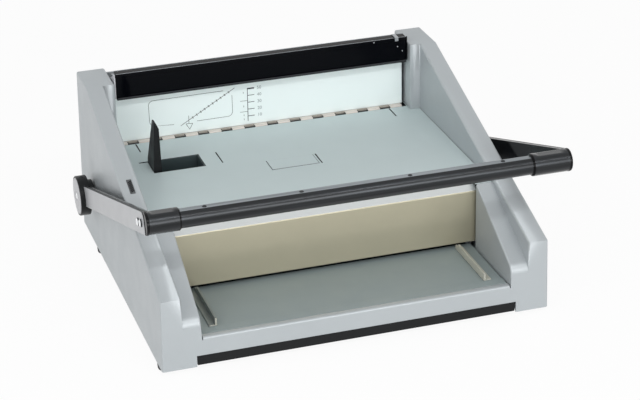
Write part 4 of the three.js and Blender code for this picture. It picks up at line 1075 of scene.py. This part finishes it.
class BINDER_OT_stage(BinderOperator):
    """Set up the floor, the lamps, the world and the camera"""
    bl_idname = "binder.stage"
    bl_label = "Stage"

    def build(self, size):
        studio = bpy.context.scene.binder_studio
        scene = bpy.context.scene
        scene.view_settings.view_transform = "Standard"
        floor_mesh = bpy.data.meshes.new("floor")
        floor_mesh.from_pydata([(-9, -9, 0), (9, -9, 0), (9, 9, 0), (-9, 9, 0)], [], [(0, 1, 2, 3)])
        floor_mesh.materials.append(finish("pale studio floor", self.floor))
        show("floor", floor_mesh)
        world = bpy.data.worlds.new("studio")
        world.use_nodes = True
        world.node_tree.nodes.clear()
        tree = world.node_tree
        direction = add(tree, "ShaderNodeTexCoord").outputs["Generated"]
        height = add(tree, "ShaderNodeSeparateXYZ", {0: direction}).outputs["Z"]
        strength = add(tree, "ShaderNodeMapRange", {
            "Value": height, "From Min": 0.0, "From Max": 1.0, "To Min": studio.room_light,
            "To Max": studio.room_light * 0.6})
        room = add(tree, "ShaderNodeBackground", {"Color": (1, 1, 1, 1), "Strength": strength})
        seen = add(tree, "ShaderNodeBackground", {"Color": (1, 1, 1, 1), "Strength": 1.0})
        mixed = add(tree, "ShaderNodeMixShader", {0: self.looked_at(tree), 1: room, 2: seen})
        add(tree, "ShaderNodeOutputWorld", {"Surface": mixed})
        scene.world = world
        self.lamp("key", studio.key_power, (1.8, 1.8), (-2.2, -1.8, 1.6))
        self.lamp("fill", studio.fill_power, (1.6, 0.8), (0.4, -2.6, 0.7))
        self.lamp("strip", studio.strip_power, (2.6, 0.12), (0.1, -2.2, 2.25))
        self.camera(scene)

    def looked_at(self, tree):
        path = add(tree, "ShaderNodeLightPath")
        first = add(tree, "ShaderNodeMath", {
            0: path.outputs["Is Camera Ray"], 1: path.outputs["Is Glossy Ray"]}, operation="MAXIMUM")
        return add(tree, "ShaderNodeMath", {0: first, 1: path.outputs["Is Transmission Ray"]},
                   operation="MAXIMUM")

    def floor(self, tree):
        # Matt white paper: it takes the soft shadow of the machine, and is seen as plain white around it.
        paper = add(tree, "ShaderNodeBsdfDiffuse", {"Color": (0.92, 0.92, 0.92, 1)})
        white = add(tree, "ShaderNodeEmission", {"Color": (1, 1, 1, 1), "Strength": 1.0})
        part = add(tree, "ShaderNodeMath", {0: self.looked_at(tree), 1: 0.93}, operation="MULTIPLY")
        return add(tree, "ShaderNodeMixShader", {0: part, 1: paper, 2: white})

    def lamp(self, name, power, size, spot):
        light = bpy.data.lights.new(name, "AREA")
        light.shape = "RECTANGLE"
        light.size, light.size_y = size
        light.energy = power
        lamp = bpy.data.objects.new(name, light)
        lamp.location = spot
        lamp.rotation_euler = (Vector((0, 0, 0.08)) - Vector(spot)).to_track_quat("-Z", "Y").to_euler()
        bpy.context.scene.collection.objects.link(lamp)

    def camera(self, scene):
        yaw, pitch, roll = (math.radians(turn) for turn in CAMERA_TURNS)
        look = Vector((math.sin(yaw) * math.cos(pitch), math.cos(yaw) * math.cos(pitch), -math.sin(pitch)))
        side = Vector((math.cos(yaw), -math.sin(yaw), 0))
        rise = side.cross(look)
        right = math.cos(roll) * side + math.sin(roll) * rise
        up = math.cos(roll) * rise - math.sin(roll) * side
        lens = bpy.data.cameras.new("camera")
        lens.sensor_width = 36
        lens.lens = FOCAL_PIXELS * lens.sensor_width / PHOTO_WIDTH
        lens.clip_start = 0.05
        camera = bpy.data.objects.new("camera", lens)
        camera.matrix_world = Matrix.Translation(at(*CAMERA_PLACE)) @ Matrix(
            (right, up, -look)).transposed().to_4x4()
        scene.collection.objects.link(camera)
        scene.camera = camera


OPERATORS = (
    BINDER_OT_casing, BINDER_OT_feet, BINDER_OT_deck, BINDER_OT_slot_rail, BINDER_OT_guide_blade,
    BINDER_OT_back_panel, BINDER_OT_press_head, BINDER_OT_front_cover, BINDER_OT_paper_tray,
    BINDER_OT_chip_tray, BINDER_OT_handle, BINDER_OT_hubs, BINDER_OT_start_key, BINDER_OT_rear_panel,
    BINDER_OT_screws, BINDER_OT_inner_works, BINDER_OT_stage)


class BINDER_PT_panel(bpy.types.Panel):
    """Lists the machine's sizes, colours and pieces"""
    bl_idname = "BINDER_PT_panel"
    bl_label = "Strip binding machine"
    bl_space_type = "VIEW_3D"
    bl_region_type = "UI"
    bl_category = "Binder"

    def draw(self, context):
        for group in (context.scene.binder_sizes, context.scene.binder_colours, context.scene.binder_studio):
            box = self.layout.box()
            for name in group.__annotations__:
                box.prop(group, name)
        for operator in OPERATORS:
            self.layout.operator(operator.bl_idname)


CLASSES = (BinderColours, BinderSizes, BinderStudio, *OPERATORS, BINDER_PT_panel)


def register():
    for item in CLASSES:
        bpy.utils.register_class(item)
    bpy.types.Scene.binder_colours = PointerProperty(type=BinderColours)
    bpy.types.Scene.binder_sizes = PointerProperty(type=BinderSizes)
    bpy.types.Scene.binder_studio = PointerProperty(type=BinderStudio)


def unregister():
    del bpy.types.Scene.binder_colours
    del bpy.types.Scene.binder_sizes
    del bpy.types.Scene.binder_studio
    for item in reversed(CLASSES):
        bpy.utils.unregister_class(item)


def main():
    register()
    for operator in OPERATORS:
        group, name = operator.bl_idname.split(".")
        getattr(getattr(bpy.ops, group), name)()


if __name__ == "__main__":
    main()
